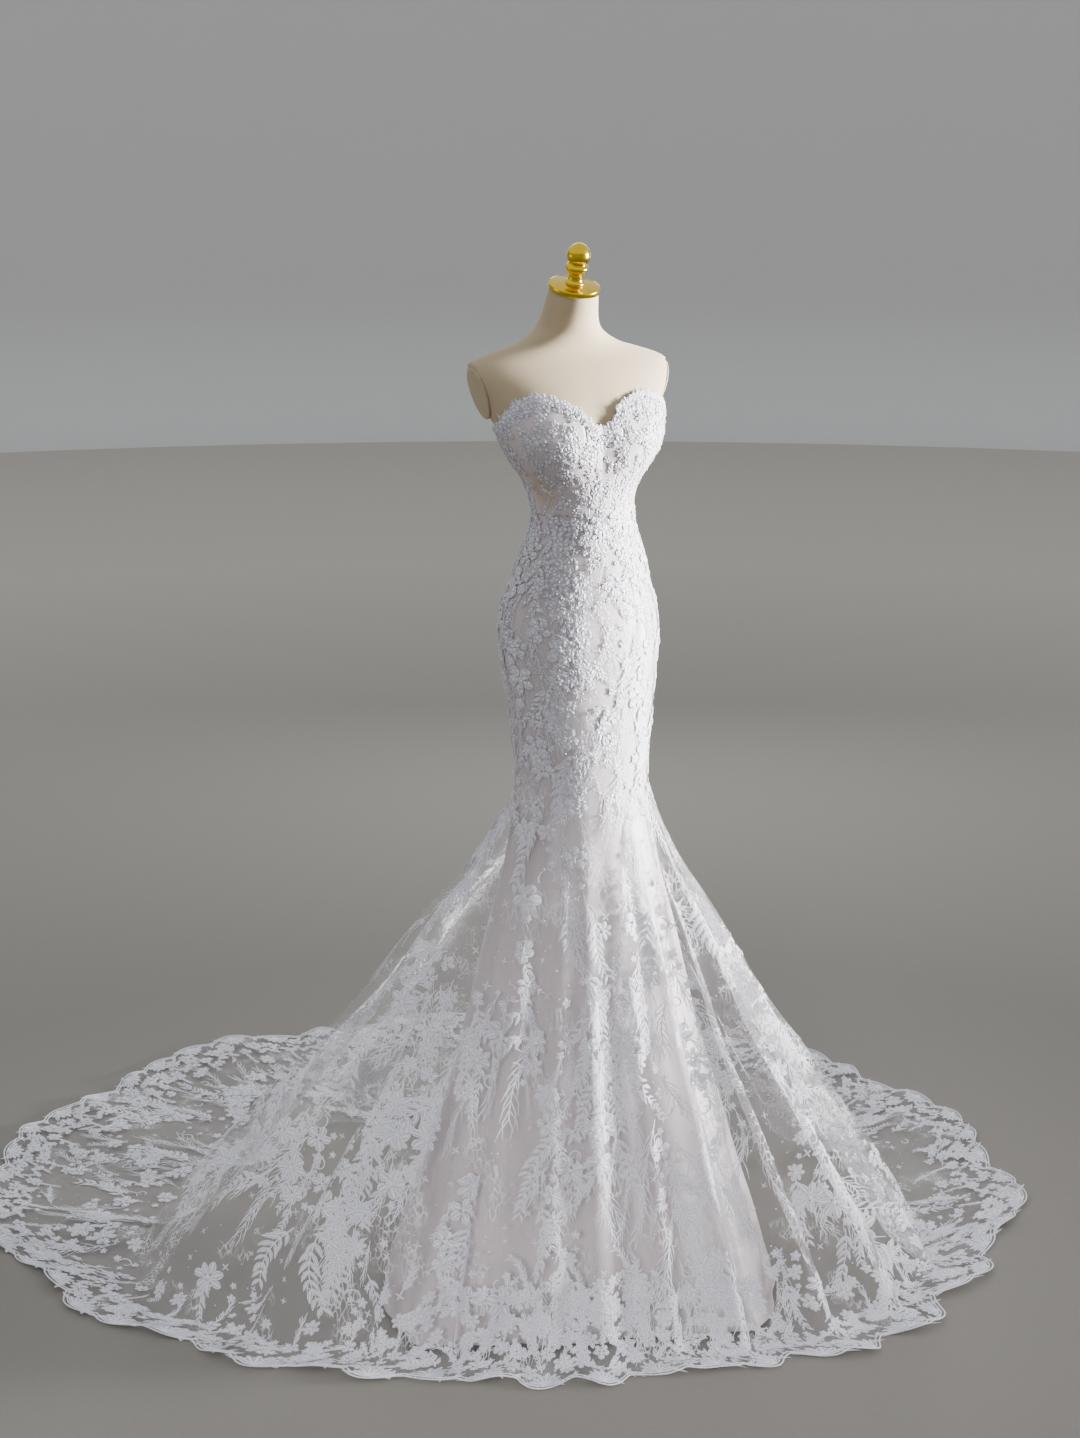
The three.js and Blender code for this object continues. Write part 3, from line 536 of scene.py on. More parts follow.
def silk_tulle(colours):
    """Fine hexagonal net with thin filling threads: a veil that lets what is behind show."""
    material, tree, shader = new_material("silk_tulle")
    place = add_node(tree, "ShaderNodeTexCoord").outputs["Object"]
    # The net's holes are 1.2 mm; drawn at 3.4 mm so that they don't vanish between pixels
    net = add_node(
        tree, "ShaderNodeTexVoronoi", {"Vector": place, "Scale": 290.0, "Randomness": 0.35},
        feature="DISTANCE_TO_EDGE",
    )
    net_thread = add_node(
        tree, "ShaderNodeMapRange",
        {
            "Value": net.outputs["Distance"], "From Min": 0.05, "From Max": 0.16,
            "To Min": 1.0, "To Max": 0.0,
        },
    )
    # Hair-fine filling threads of the embroidery, 8 to 12 mm apart and drawn out lengthwise
    stretch = add_node(tree, "ShaderNodeMapping", {"Vector": place, "Scale": (1.0, 1.0, 0.3)})
    wander = add_node(tree, "ShaderNodeTexNoise", {"Vector": place, "Scale": 30.0, "Detail": 2.0})
    bent = add_node(
        tree, "ShaderNodeMix",
        {"Factor": 0.012, "A": stretch.outputs["Vector"], "B": wander.outputs["Color"]},
        data_type="VECTOR",
    )
    web = add_node(
        tree, "ShaderNodeTexVoronoi", {"Vector": bent.outputs["Result"], "Scale": 125.0},
        feature="DISTANCE_TO_EDGE",
    )
    web_thread = add_node(
        tree, "ShaderNodeMapRange",
        {
            "Value": web.outputs["Distance"], "From Min": 0.03, "From Max": 0.17,
            "To Min": 0.85, "To Max": 0.0,
        },
    )
    patches = add_node(tree, "ShaderNodeTexNoise", {"Vector": place, "Scale": 11.0, "Detail": 3.0})
    patch = add_node(
        tree, "ShaderNodeMapRange",
        {
            "Value": patches.outputs["Fac"], "From Min": 0.52, "From Max": 0.66,
            "To Min": 0.02, "To Max": 0.8,
        },
    )
    filling = add_node(
        tree, "ShaderNodeMath",
        {0: web_thread.outputs["Result"], 1: patch.outputs["Result"]}, operation="MULTIPLY",
    )
    fine = add_node(
        tree, "ShaderNodeMath", {0: net_thread.outputs["Result"], 1: 0.15}, operation="MULTIPLY"
    )
    both = add_node(
        tree, "ShaderNodeMath", {0: filling.outputs[0], 1: fine.outputs[0]}, operation="MAXIMUM"
    )
    alpha = add_node(tree, "ShaderNodeMath", {0: both.outputs[0], 1: 0.04}, operation="MAXIMUM")
    colour = add_node(
        tree, "ShaderNodeMix",
        {"Factor": filling.outputs[0], "A": rgba(colours.net), "B": rgba(colours.thread)},
        data_type="RGBA",
    )
    tree.links.new(alpha.outputs[0], shader.inputs["Alpha"])
    tree.links.new(colour.outputs["Result"], shader.inputs["Base Color"])
    shader.inputs["Roughness"].default_value = 0.55
    shader.inputs["Sheen Weight"].default_value = 0.3
    return material


def soft_satin(name, colour, shade, roughness):
    """Woven satin: smooth floats give a broad soft gloss, with faint slubs along the length."""
    material, tree, shader = new_material(name)
    place = add_node(tree, "ShaderNodeTexCoord").outputs["Object"]
    long = add_node(tree, "ShaderNodeMapping", {"Vector": place, "Scale": (1.0, 1.0, 0.12)})
    slub = add_node(
        tree, "ShaderNodeTexNoise", {"Vector": long.outputs["Vector"], "Scale": 60.0, "Detail": 4.0}
    )
    mix = add_node(
        tree, "ShaderNodeMix",
        {"Factor": slub.outputs["Fac"], "A": rgba(shade), "B": rgba(colour)}, data_type="RGBA",
    )
    # Weft floats are 0.15 mm apart; drawn at 1.4 mm
    weave = add_node(
        tree, "ShaderNodeTexWave", {"Vector": place, "Scale": 220.0, "Distortion": 2.0},
        bands_direction="Z",
    )
    bump = add_node(
        tree, "ShaderNodeBump",
        {"Height": weave.outputs["Fac"], "Strength": 0.12, "Distance": 0.0003},
    )
    tree.links.new(mix.outputs["Result"], shader.inputs["Base Color"])
    tree.links.new(bump.outputs["Normal"], shader.inputs["Normal"])
    shader.inputs["Roughness"].default_value = roughness
    shader.inputs["Sheen Weight"].default_value = 0.2
    return material


def form_jersey(colours):
    """Knitted jersey stretched over the form: matt, with a fine rib and faint mottling."""
    material, tree, shader = new_material("stretch_jersey")
    place = add_node(tree, "ShaderNodeTexCoord").outputs["Object"]
    mottle = add_node(tree, "ShaderNodeTexNoise", {"Vector": place, "Scale": 14.0, "Detail": 5.0})
    colour = add_node(
        tree, "ShaderNodeMix",
        {
            "Factor": mottle.outputs["Fac"], "A": rgba(colours.jersey_shade),
            "B": rgba(colours.jersey),
        },
        data_type="RGBA",
    )
    # Wales are 0.7 mm apart; drawn at 1.5 mm
    wale = add_node(
        tree, "ShaderNodeTexWave", {"Vector": place, "Scale": 210.0, "Distortion": 1.0},
        bands_direction="X",
    )
    course = add_node(
        tree, "ShaderNodeTexWave", {"Vector": place, "Scale": 210.0, "Distortion": 1.0},
        bands_direction="Z",
    )
    knit = add_node(
        tree, "ShaderNodeMath", {0: wale.outputs["Fac"], 1: course.outputs["Fac"]},
        operation="MULTIPLY",
    )
    bump = add_node(
        tree, "ShaderNodeBump", {"Height": knit.outputs[0], "Strength": 0.25, "Distance": 0.0004}
    )
    tree.links.new(colour.outputs["Result"], shader.inputs["Base Color"])
    tree.links.new(bump.outputs["Normal"], shader.inputs["Normal"])
    shader.inputs["Roughness"].default_value = 0.82
    shader.inputs["Sheen Weight"].default_value = 0.15
    return material


def bodice_net(colours):
    """Boned foundation under lace: pinkish-white cloth, with skin-coloured net at the waist."""
    material, tree, shader = new_material("boned_foundation")
    place = add_node(tree, "ShaderNodeTexCoord").outputs["Object"]
    mask = add_node(tree, "ShaderNodeAttribute", attribute_name="nude")
    mottle = add_node(tree, "ShaderNodeTexNoise", {"Vector": place, "Scale": 60.0, "Detail": 4.0})
    body = add_node(
        tree, "ShaderNodeMix",
        {
            "Factor": mottle.outputs["Fac"], "A": rgba(colours.foundation_shade),
            "B": rgba(colours.foundation),
        },
        data_type="RGBA",
    )
    colour = add_node(
        tree, "ShaderNodeMix",
        {"Factor": mask.outputs["Fac"], "A": body.outputs["Result"], "B": rgba(colours.nude)},
        data_type="RGBA",
    )
    net = add_node(
        tree, "ShaderNodeTexVoronoi", {"Vector": place, "Scale": 330.0, "Randomness": 0.4},
        feature="DISTANCE_TO_EDGE",
    )
    bump = add_node(
        tree, "ShaderNodeBump",
        {"Height": net.outputs["Distance"], "Strength": 0.4, "Distance": 0.0006},
    )
    tree.links.new(colour.outputs["Result"], shader.inputs["Base Color"])
    tree.links.new(bump.outputs["Normal"], shader.inputs["Normal"])
    shader.inputs["Roughness"].default_value = 0.6
    shader.inputs["Sheen Weight"].default_value = 0.2
    return material


def polished_brass(colours):
    """Turned and polished brass: a mirror-like yellow metal, its tone and gloss clouded a little.
    """
    material, tree, shader = new_material("polished_brass")
    place = add_node(tree, "ShaderNodeTexCoord").outputs["Object"]
    cloud = add_node(tree, "ShaderNodeTexNoise", {"Vector": place, "Scale": 40.0, "Detail": 3.0})
    colour = add_node(
        tree, "ShaderNodeMix",
        {"Factor": cloud.outputs["Fac"], "A": rgba(colours.brass_shade), "B": rgba(colours.brass)},
        data_type="RGBA",
    )
    rough = add_node(
        tree, "ShaderNodeMapRange", {"Value": cloud.outputs["Fac"], "To Min": 0.12, "To Max": 0.26}
    )
    tree.links.new(colour.outputs["Result"], shader.inputs["Base Color"])
    tree.links.new(rough.outputs["Result"], shader.inputs["Roughness"])
    shader.inputs["Metallic"].default_value = 1.0
    return material


def satin_steel(colours):
    """Powder-smooth satin steel of the stand: soft grey gloss with brushed streaks."""
    material, tree, shader = new_material("satin_steel")
    place = add_node(tree, "ShaderNodeTexCoord").outputs["Object"]
    streak = add_node(tree, "ShaderNodeMapping", {"Vector": place, "Scale": (1.0, 1.0, 40.0)})
    grain = add_node(
        tree, "ShaderNodeTexNoise",
        {"Vector": streak.outputs["Vector"], "Scale": 30.0, "Detail": 3.0},
    )
    rough = add_node(
        tree, "ShaderNodeMapRange", {"Value": grain.outputs["Fac"], "To Min": 0.28, "To Max": 0.45}
    )
    tree.links.new(rough.outputs["Result"], shader.inputs["Roughness"])
    shader.inputs["Base Color"].default_value = rgba(colours.steel)
    shader.inputs["Metallic"].default_value = 1.0
    return material


def clear_sequin(colours):
    """Stamped PET sequins: clear and glossy, each one a pale glint, some faintly milky."""
    material, tree, shader = new_material("pet_sequins")
    place = add_node(tree, "ShaderNodeTexCoord").outputs["Object"]
    milk = add_node(tree, "ShaderNodeTexNoise", {"Vector": place, "Scale": 120.0, "Detail": 2.0})
    colour = add_node(
        tree, "ShaderNodeMix",
        {"Factor": milk.outputs["Fac"], "A": rgba(colours.thread_shade), "B": rgba(colours.thread)},
        data_type="RGBA",
    )
    tree.links.new(colour.outputs["Result"], shader.inputs["Base Color"])
    shader.inputs["Roughness"].default_value = 0.12
    shader.inputs["IOR"].default_value = 1.57
    shader.inputs["Coat Weight"].default_value = 1.0
    return material


def studio_paint(name, colour, painted_light_colour):
    """Matt paint with a faint mottling, and painted light: paler from 2 m to 8 m out, where the
    lamps don't reach.
    """
    material, tree, shader = new_material(name)
    place = add_node(tree, "ShaderNodeTexCoord").outputs["Object"]
    mottle = add_node(tree, "ShaderNodeTexNoise", {"Vector": place, "Scale": 90.0, "Detail": 6.0})
    mix = add_node(
        tree, "ShaderNodeMix",
        {"Factor": mottle.outputs["Fac"], "A": rgba([c * 0.88 for c in colour]), "B": rgba(colour)},
        data_type="RGBA",
    )
    outward = add_node(tree, "ShaderNodeVectorMath", {0: place}, operation="LENGTH")
    far = add_node(
        tree, "ShaderNodeMapRange",
        {"Value": outward.outputs["Value"], "From Min": 2.0, "From Max": 8.0},
    )
    # Painted light: the colour blends towards the paler far colour from 2 m to 8 m out
    with_painted_light = add_node(
        tree, "ShaderNodeMix",
        {"Factor": far.outputs["Result"], "A": mix.outputs["Result"], "B": rgba(painted_light_colour)},
        data_type="RGBA",
    )
    tree.links.new(with_painted_light.outputs["Result"], shader.inputs["Base Color"])
    shader.inputs["Roughness"].default_value = 0.9
    return material


MATERIALS = {}


def material_for(key):
    """The finish of that name, made once from the panel's colours."""
    if not MATERIALS:
        colours = bpy.context.scene.gown_colours
        MATERIALS.update({
            "thread": embroidery_thread(colours),
            "tulle": silk_tulle(colours),
            "lining": soft_satin("lining_satin", colours.lining, colours.lining_shade, 0.42),
            "foundation": bodice_net(colours),
            "jersey": form_jersey(colours),
            "brass": polished_brass(colours),
            "steel": satin_steel(colours),
            "sequin": clear_sequin(colours),
        })
    return MATERIALS[key]


# Lace motifs: flat shapes in mm, u to the wearer's left, v down, and h off the cloth;
# the fourth number of a point is 0 on edges and plain threads and 1 on a raised middle
def strip(spine, widths, lift):
    """Leaf-like blade along a spine, with a raised middle; thin strands have no middle."""
    spine = np.asarray(spine, float)
    widths = np.asarray(widths, float)[:, None]
    along = np.gradient(spine, axis=0)
    along /= np.linalg.norm(along, axis=1)[:, None]
    side = np.stack([-along[:, 1], along[:, 0]], 1)
    n = len(spine)
    flat = np.zeros((n, 2))
    left = np.hstack([spine - side * widths / 2, flat])
    right = np.hstack([spine + side * widths / 2, flat])
    if lift <= 0:
        points = np.vstack([left, right])
        rails = [(0, n)]
    else:
        top = np.hstack([lift * widths / widths.max(), np.ones((n, 1))])
        points = np.vstack([left, np.hstack([spine, top]), right])
        rails = [(0, n), (n, 2 * n)]
    faces = []
    for a, b in rails:
        for k in range(n - 1):
            faces += [(a + k, a + k + 1, b + k + 1), (a + k, b + k + 1, b + k)]
    return points, np.array(faces)


def joined(parts):
    """One motif, or mesh, of several."""
    points, faces, first = [], [], 0
    for p, f in parts:
        points.append(p)
        faces.append(f + first)
        first += len(p)
    return np.vstack(points), np.vstack(faces)


def moved(part, angle=0.0, at=(0, 0), lift=0.0):
    """The motif turned, then moved along the cloth and off it."""
    points, faces = part
    c, s = math.cos(angle), math.sin(angle)
    out = points.copy()
    out[:, 0] = points[:, 0] * c - points[:, 1] * s + at[0]
    out[:, 1] = points[:, 0] * s + points[:, 1] * c + at[1]
    out[:, 2] += lift
    return out, faces


def facing_out(part):
    """Turns each face to look away from the cloth."""
    points, faces = part
    a, b, c = (points[faces[:, k], :2] for k in range(3))
    area = (b[:, 0] - a[:, 0]) * (c[:, 1] - a[:, 1]) - (b[:, 1] - a[:, 1]) * (c[:, 0] - a[:, 0])
    flip = area > 0
    faces = faces.copy()
    faces[flip] = faces[flip][:, ::-1]
    return points, faces


def petal(length, width, lift=1.2, bend=0.0):
    """Rounded petal along +u from its root."""
    t = np.linspace(0, 1, 5)
    spine = np.stack([length * t, bend * length * t * t], 1)
    return strip(spine, width * np.array([0.3, 0.82, 1.0, 0.88, 0.3]), lift)


def leaf(length, width, lift=0.9, bend=0.25):
    """Pointed leaf along +u from its root."""
    t = np.linspace(0, 1, 4)
    spine = np.stack([length * t, bend * length * t * t], 1)
    return strip(spine, width * np.array([0.25, 1.0, 0.8, 0.06]), lift)


def disc(radius, sides=8, lift=1.5):
    """Domed eye of a flower."""
    a = np.arange(sides) * 2 * math.pi / sides
    rim = np.stack([radius * np.cos(a), radius * np.sin(a), 0 * a, 0 * a], 1)
    points = np.vstack([[(0, 0, lift, 0)], rim])
    faces = np.array([(0, 1 + k, 1 + (k + 1) % sides) for k in range(sides)])
    return points, faces


def flower(rng, radius):
    """Open flower with two rings of petals and a raised eye."""
    parts = []
    count = int(rng.integers(5, 8))
    start = rng.uniform(0, 6.28)
    for k in range(count):
        a = start + 2 * math.pi * (k + rng.uniform(-0.1, 0.1)) / count
        size = radius * rng.uniform(0.82, 1.08)
        outer = petal(size * 0.74, size * 3.5 / count, 1.3, rng.uniform(-0.15, 0.15))
        root = (radius * 0.24 * math.cos(a), radius * 0.24 * math.sin(a))
        parts.append(moved(outer, a, at=root))
        if k % 2 == 0:
            inner = petal(radius * 0.34, radius * 0.24, 1.0)
            b = a + math.pi / count
            parts.append(moved(inner, b, lift=1.3))
    parts.append(moved(disc(radius * 0.13), lift=1.6))
    return facing_out(joined(parts))


def rosette(rng, radius):
    """Small five-petalled blossom."""
    parts = []
    start = rng.uniform(0, 6.28)
    for k in range(5):
        a = start + 2 * math.pi * k / 5
        parts.append(moved(leaf(radius, radius * 0.72, 1.0, 0), a))
    parts.append(moved(disc(radius * 0.2, 6), lift=0.8))
    return facing_out(joined(parts))


def curved_stem(length, bow, steps=9):
    """Spine of a hanging stem that bows to one side."""
    t = np.linspace(0, 1, steps)
    return np.stack([bow * length * np.sin(t * 2.6), length * t], 1)


def leaf_spray(rng, length):
    """Stem with paired leaves, hanging down from its root."""
    stem = curved_stem(length, rng.uniform(-0.2, 0.2))
    parts = [strip(stem, np.linspace(2.4, 1.0, len(stem)), 0)]
    along = np.gradient(stem, axis=0)
    for k in range(1, len(stem)):
        heading = math.atan2(along[k, 1], along[k, 0])
        size = length * rng.uniform(0.2, 0.28) * (1.1 - 0.5 * k / len(stem))
        for side in (-1, 1):
            if rng.random() < 0.88:
                a = heading + side * rng.uniform(0.6, 1.0)
                blade = leaf(size, size * rng.uniform(0.24, 0.36), 0.9, -0.25 * side)
                parts.append(moved(blade, a, at=stem[k]))
    return facing_out(joined(parts))


def fern_spray(rng, length):
    """Feathery threads along a thin stem."""
    stem = curved_stem(length, rng.uniform(-0.12, 0.12), 11)
    parts = [strip(stem, np.full(len(stem), 1.5), 0)]
    along = np.gradient(stem, axis=0)
    for k in range(1, len(stem)):
        heading = math.atan2(along[k, 1], along[k, 0])
        for side in (-1, 1):
            size = length * rng.uniform(0.16, 0.3)
            t = np.array([0, 0.55, 1.0])
            bend = -side * rng.uniform(0.15, 0.5)
            spine = np.stack([size * t, bend * size * t * t], 1)
            frond = strip(spine, [1.2, 1.5, 0.5], 0)
            parts.append(moved(frond, heading + side * rng.uniform(0.35, 0.75), at=stem[k]))
    return facing_out(joined(parts))


def scroll(rng, size):
    """Curling tendril."""
    t = np.linspace(0, 1, 15)
    a = t * rng.uniform(4.2, 5.6)
    r = size * (1 - 0.78 * t)
    spine = np.stack([r * np.cos(a), r * np.sin(a)], 1)
    return facing_out(strip(spine, np.linspace(2.6, 1.6, 15), 0))


def star(radius):
    """Four-pointed sprig."""
    parts = [moved(leaf(radius, radius * 0.34, 0.7, 0), k * math.pi / 2) for k in range(4)]
    return facing_out(joined(parts))


def scallop_motif(rng, mirror):
    """One repeat of the border, from the scallop's edge (v 0) up into the skirt (v negative)."""
    parts = []
    half = SCALLOP_PITCH / 2
    for k in range(7):
        a = -math.pi / 2 + (k - 3) * 0.42
        size = 40 - 3 * abs(k - 3)
        parts.append(moved(petal(size, 12.5, 1.3), a, at=(0, -10)))
    parts.append(moved(disc(7, 8, 1.6), at=(0, -9)))
    for side in (-1, 1):
        parts.append(moved(flower(rng, 21), at=(side * half * 0.62, -56 + 9 * side * mirror)))
        parts.append(moved(leaf_spray(rng, 62), math.pi + side * 0.5, at=(side * 12, -50)))
        low_turn = math.pi * (0.5 - 0.5 * side) + side * 0.5
        parts.append(moved(leaf(30, 9), low_turn, at=(side * 18, -16)))
        parts.append(moved(leaf(24, 8), -math.pi / 2 + side * 0.25, at=(side * half * 0.9, -14)))
        for k in range(3):
            where = (side * (half * 0.86 - 9 * k), -92 - 9 * k)
            parts.append(moved(rosette(rng, 8.5), at=where))
    parts.append(moved(flower(rng, 17), at=(3 * mirror, -98)))
    parts.append(moved(fern_spray(rng, 60), math.pi, at=(4 * mirror, -104)))
    return facing_out(joined(parts))


OFF_NET = 0.9  # mm from the net to the embroidery's edges
LEAST_WIDTH = 1.2  # mm of cloth to a degree, at least, when a motif is laid


def place_motifs(motif, sites, run_from_hem=False):
    """Lays one motif at every site (angle, run, turn, scale), following the cloth."""
    points, faces = motif
    angle, run, turn, scale = (np.asarray(c, float)[:, None] for c in np.asarray(sites).T)
    c, s = np.cos(turn) * scale, np.sin(turn) * scale
    u = points[None, :, 0] * c - points[None, :, 1] * s
    v = points[None, :, 0] * s + points[None, :, 1] * c
    base = LACE.hem_run(angle) if run_from_hem else 0.0
    down = base + run + v
    per_degree = LACE.width(angle + 0 * v, down)
    at = angle + u / np.maximum(per_degree, LEAST_WIDTH)
    if run_from_hem:
        down = LACE.hem_run(at) + run + v
    out = OFF_NET + points[None, :, 2]
    placed = LACE.at(at, down, out)
    placed[..., 2] = np.maximum(placed[..., 2], (LACE_THICK + 0.6) * MM)
    count = len(sites)
    core = np.tile(points[:, 3], count)[:, None]
    all_faces = faces[None] + (np.arange(count) * len(points))[:, None, None]
    return np.hstack([placed.reshape(-1, 3), core]), all_faces.reshape(-1, 3)


def even_sites(rng, spacing, top, bottom, jitter=0.3):
    """Sites spread evenly on the cloth between two runs, as (angle, run) rows."""
    found, row, run = [], 0, top
    while run < bottom:
        width = LACE.width(LACE.angles, np.full(len(LACE.angles), run))
        arc = np.concatenate([[0], np.cumsum(width[:-1] * LACE.STEP)])
        count = max(int(arc[-1] / spacing), 6)
        offset = rng.uniform(-jitter, jitter, count) + (0.5 if row % 2 else 0)
        where = (np.arange(count) + offset) * arc[-1] / count % arc[-1]
        runs = run + rng.uniform(-jitter, jitter, count) * spacing
        found.append(np.stack([np.interp(where, arc, LACE.angles), runs], 1))
        run += spacing * 0.87
        row += 1
    return np.vstack(found)


def thrown_sites(rng, spacing, top, bottom, keep_off_hem, trail=0.0):
    """Even sites above the border, kept where the trails are at least that strong."""
    sites = even_sites(rng, spacing, top, bottom)
    sites = sites[sites[:, 1] < LACE.hem_run(sites[:, 0]) - keep_off_hem]
    return sites[trail_strength(sites[:, 0], sites[:, 1]) >= trail]


# Random strengths on a grid of 48 steps round and 14 down, which trail_strength smooths
TRAILS = np.random.default_rng(5).random((48, 14))
TRAIL_TOP, TRAIL_LENGTH = -540.0, 2600.0  # run of the grid's first row, and down to its last
FULL_FROM, FULL_OVER, FULL_MORE = -480.0, 420.0, 0.5  # more from the waist down, fading out


def trail_strength(angle, run):
    """How full the embroidery is, from 0 to 1: long upright trails with clear net between."""
    i = (turned(angle) + 180) / 360 * len(TRAILS)
    last = TRAILS.shape[1] - 1
    j = np.clip((run - TRAIL_TOP) / TRAIL_LENGTH * last, 0, last - 0.001)
    i0, j0 = np.floor(i).astype(int), np.floor(j).astype(int)
    s, t = i - i0, j - j0
    s, t = s * s * (3 - 2 * s), t * t * (3 - 2 * t)
    a, b = i0 % len(TRAILS), (i0 + 1) % len(TRAILS)
    top = TRAILS[a, j0] * (1 - s) + TRAILS[b, j0] * s
    low = TRAILS[a, j0 + 1] * (1 - s) + TRAILS[b, j0 + 1] * s
    strength = top * (1 - t) + low * t
    near_waist = np.clip(1 - (run - FULL_FROM) / FULL_OVER, 0, 1) * FULL_MORE
    return np.clip(strength + near_waist, 0, 1)


def in_sector(angles, start, end):
    """Which of the angles lie between the two."""
    middle = (start + end) / 2
    return np.abs(turned(angles - middle)) <= (end - start) / 2


def with_turn(rng, sites, turn_low, turn_high, scale_low, scale_high):
    """Gives each (angle, run) site a random turn and scale."""
    n = len(sites)
    return np.column_stack([
        sites, rng.uniform(turn_low, turn_high, n), rng.uniform(scale_low, scale_high, n)
    ])


def lace_piece(name, groups, slot):
    """One mesh of all the motifs in groups of (motif, sites, from hem)."""
    points, faces = joined([place_motifs(m, s, hem) for m, s, hem in groups if len(s)])
    made = dressed(name, points[:, :3], faces, "thread", slot)
    point_value(made, "core", points[:, 3])
    return made


class GownSizes(bpy.types.PropertyGroup):
    flower_radius: FloatProperty(
        name="Flower radius", description="Radius of the skirt's large flowers",
        default=0.027, unit="LENGTH",
    )
    flower_spacing: FloatProperty(
        name="Flower spacing", description="Distance between the skirt's large flowers",
        default=0.092, unit="LENGTH",
    )
    fern_spacing: FloatProperty(
        name="Fern spacing", description="Distance between the feathery sprays",
        default=0.06, unit="LENGTH",
    )
    rosette_spacing: FloatProperty(
        name="Blossom spacing", description="Distance between the small blossoms",
        default=0.054, unit="LENGTH",
    )
    bodice_spacing: FloatProperty(
        name="Bodice motif spacing", description="Distance between the bodice's small flowers",
        default=0.0185, unit="LENGTH",
    )
    edge_cord: FloatProperty(
        name="Edge cord", description="Diameter of the cord along the scalloped hem",
        default=0.003, unit="LENGTH",
    )
    sequins: IntProperty(
        name="Sequins", description="Sequins on each square metre of lace", default=300, min=1,
    )
    net_rows: IntProperty(
        name="Net rows", description="Rows of faces along each gore's net", default=160, min=20,
    )


def colour_property(name, description, code):
    """A colour for the panel, from sRGB hex."""
    return FloatVectorProperty(
        name=name, description=description, default=linear(code), subtype="COLOR", size=3,
        min=0.0, max=1.0,
    )


class GownColours(bpy.types.PropertyGroup):
    thread: colour_property("Thread", "Embroidery thread", "#F6F5FA")
    thread_shade: colour_property("Thread shade", "Darker passages of the thread", "#DCDCEA")
    # The gap colour is painted shade between the cords of a petal
    gap: colour_property("Lace gaps", "Shaded gaps between the cords of a petal", "#A79FA6")
    net: colour_property("Net", "Tulle net", "#E6E2E6")
    lining: colour_property("Lining", "Satin lining", "#D2C8CA")
    lining_shade: colour_property("Lining shade", "Darker slubs of the lining", "#C0B5B8")
    foundation: colour_property("Foundation", "Bodice foundation", "#DCD2D3")
    foundation_shade: colour_property("Foundation shade", "Darker bodice passages", "#C3B6B8")
    nude: colour_property("Waist net", "Skin-coloured net at the side waist", "#C7B4A2")
    jersey: colour_property("Jersey", "Form's jersey", "#BFAD8D")
    jersey_shade: colour_property("Jersey shade", "Darker passages of the jersey", "#B5A282")
    brass: colour_property("Brass", "Neck cap and finial", "#F0D038")
    brass_shade: colour_property("Brass shade", "Darker passages of the brass", "#DDB722")
    steel: colour_property("Steel", "Stand", "#B4B4B4")
    floor: colour_property("Floor", "Studio floor", "#827E77")
    wall: colour_property("Wall", "Cove behind the gown", "#D2D2D0")


class GOWN_OT_form(bpy.types.Operator):
    """Torso of the dress form with its flat arm plates"""

    bl_idname = "gown.form"
    bl_label = "Dress form"

    def execute(self, context):
        columns, rows = 128, 96
        z = np.concatenate([
            np.linspace(FORM_BOTTOM_Z, 1880, 60), np.linspace(1884, NECK_TOP_Z, rows - 60),
        ])
        angle = np.linspace(0, 360, columns, endpoint=False)[:, None]
        p = body_point(angle, z[None], FORM_OUT)
        limit = ARM_PLANE_X + ARM_PLANE_SLOPE * (z - ARM_PLANE_Z)
        cut = (z > ARM_PLANE_Z)[None] & (np.abs(p[..., 0]) > limit[None])
        p[..., 0] = np.where(cut, np.sign(p[..., 0]) * limit[None], p[..., 0])
        lean = np.clip((z - NECK_LEAN_Z) / NECK_LEAN_OVER, 0, 1)
        back = read_table(SECTIONS[:, 0], SECTIONS[:, 1], z)
        p[..., 2] += (p[..., 1] - back) * math.tan(NECK_TILT) * lean
        points = p[:, ::-1].reshape(-1, 3)
        caps = np.array([(0, back[-1], NECK_TOP_Z), (0, back[0], FORM_BOTTOM_Z)])
        faces = grid_faces(columns, rows, closed=True)
        n = columns * rows
        first = np.arange(columns) * rows
        after = np.roll(first, -1)
        top = np.stack([first, after, np.full(columns, n)], 1)
        low = np.stack([after + rows - 1, first + rows - 1, np.full(columns, n + 1)], 1)
        body = add_mesh("form_body", np.vstack([points, caps]) * MM, faces)
        close_ends(body, np.vstack([top, low]))
        body.data.materials.append(material_for("jersey"))
        finish_piece(body, "form_jersey", "form_torso")
        for side, name in ((1, "left"), (-1, "right")):
            self.arm_plate(side, name)
        return {"FINISHED"}

    def arm_plate(self, side, name):
        """Flat oval plate with a rounded rim, on the form's cut side."""
        # Share of the plate's radii and height off the form
        rings = [(0.0, 4.0), (0.9, 4.0), (0.97, 3.6), (1.0, 2.6), (1.0, 0.0), (0.0, 0.0)]
        middle_z, middle_y, tall, deep, gap = 1828, 62, 50, 38, 0.3
        a = np.linspace(0, 2 * math.pi, 64, endpoint=False)
        tilt = math.atan(ARM_PLANE_SLOPE)
        out = np.array([math.cos(tilt), 0, -math.sin(tilt)])
        up = np.array([math.sin(tilt), 0, math.cos(tilt)])
        across = ARM_PLANE_X + ARM_PLANE_SLOPE * (middle_z - ARM_PLANE_Z) + gap
        centre = np.array([across, middle_y, middle_z])
        grid = [
            centre + out * h + np.outer(r * tall * np.sin(a), up)
            + np.outer(r * deep * np.cos(a), (0, 1, 0))
            for r, h in rings
        ]
        points = np.stack(grid, 1).reshape(-1, 3)
        points[:, 0] *= side
        faces = grid_faces(64, len(rings), closed=True)
        if side < 0:
            faces = faces[:, ::-1]
        plate = add_mesh(f"form_plate_{name}", points * MM, faces)
        weld(plate)
        plate.data.materials.append(material_for("jersey"))
        finish_piece(plate, "form_jersey", f"form_arm_plate_{name}")


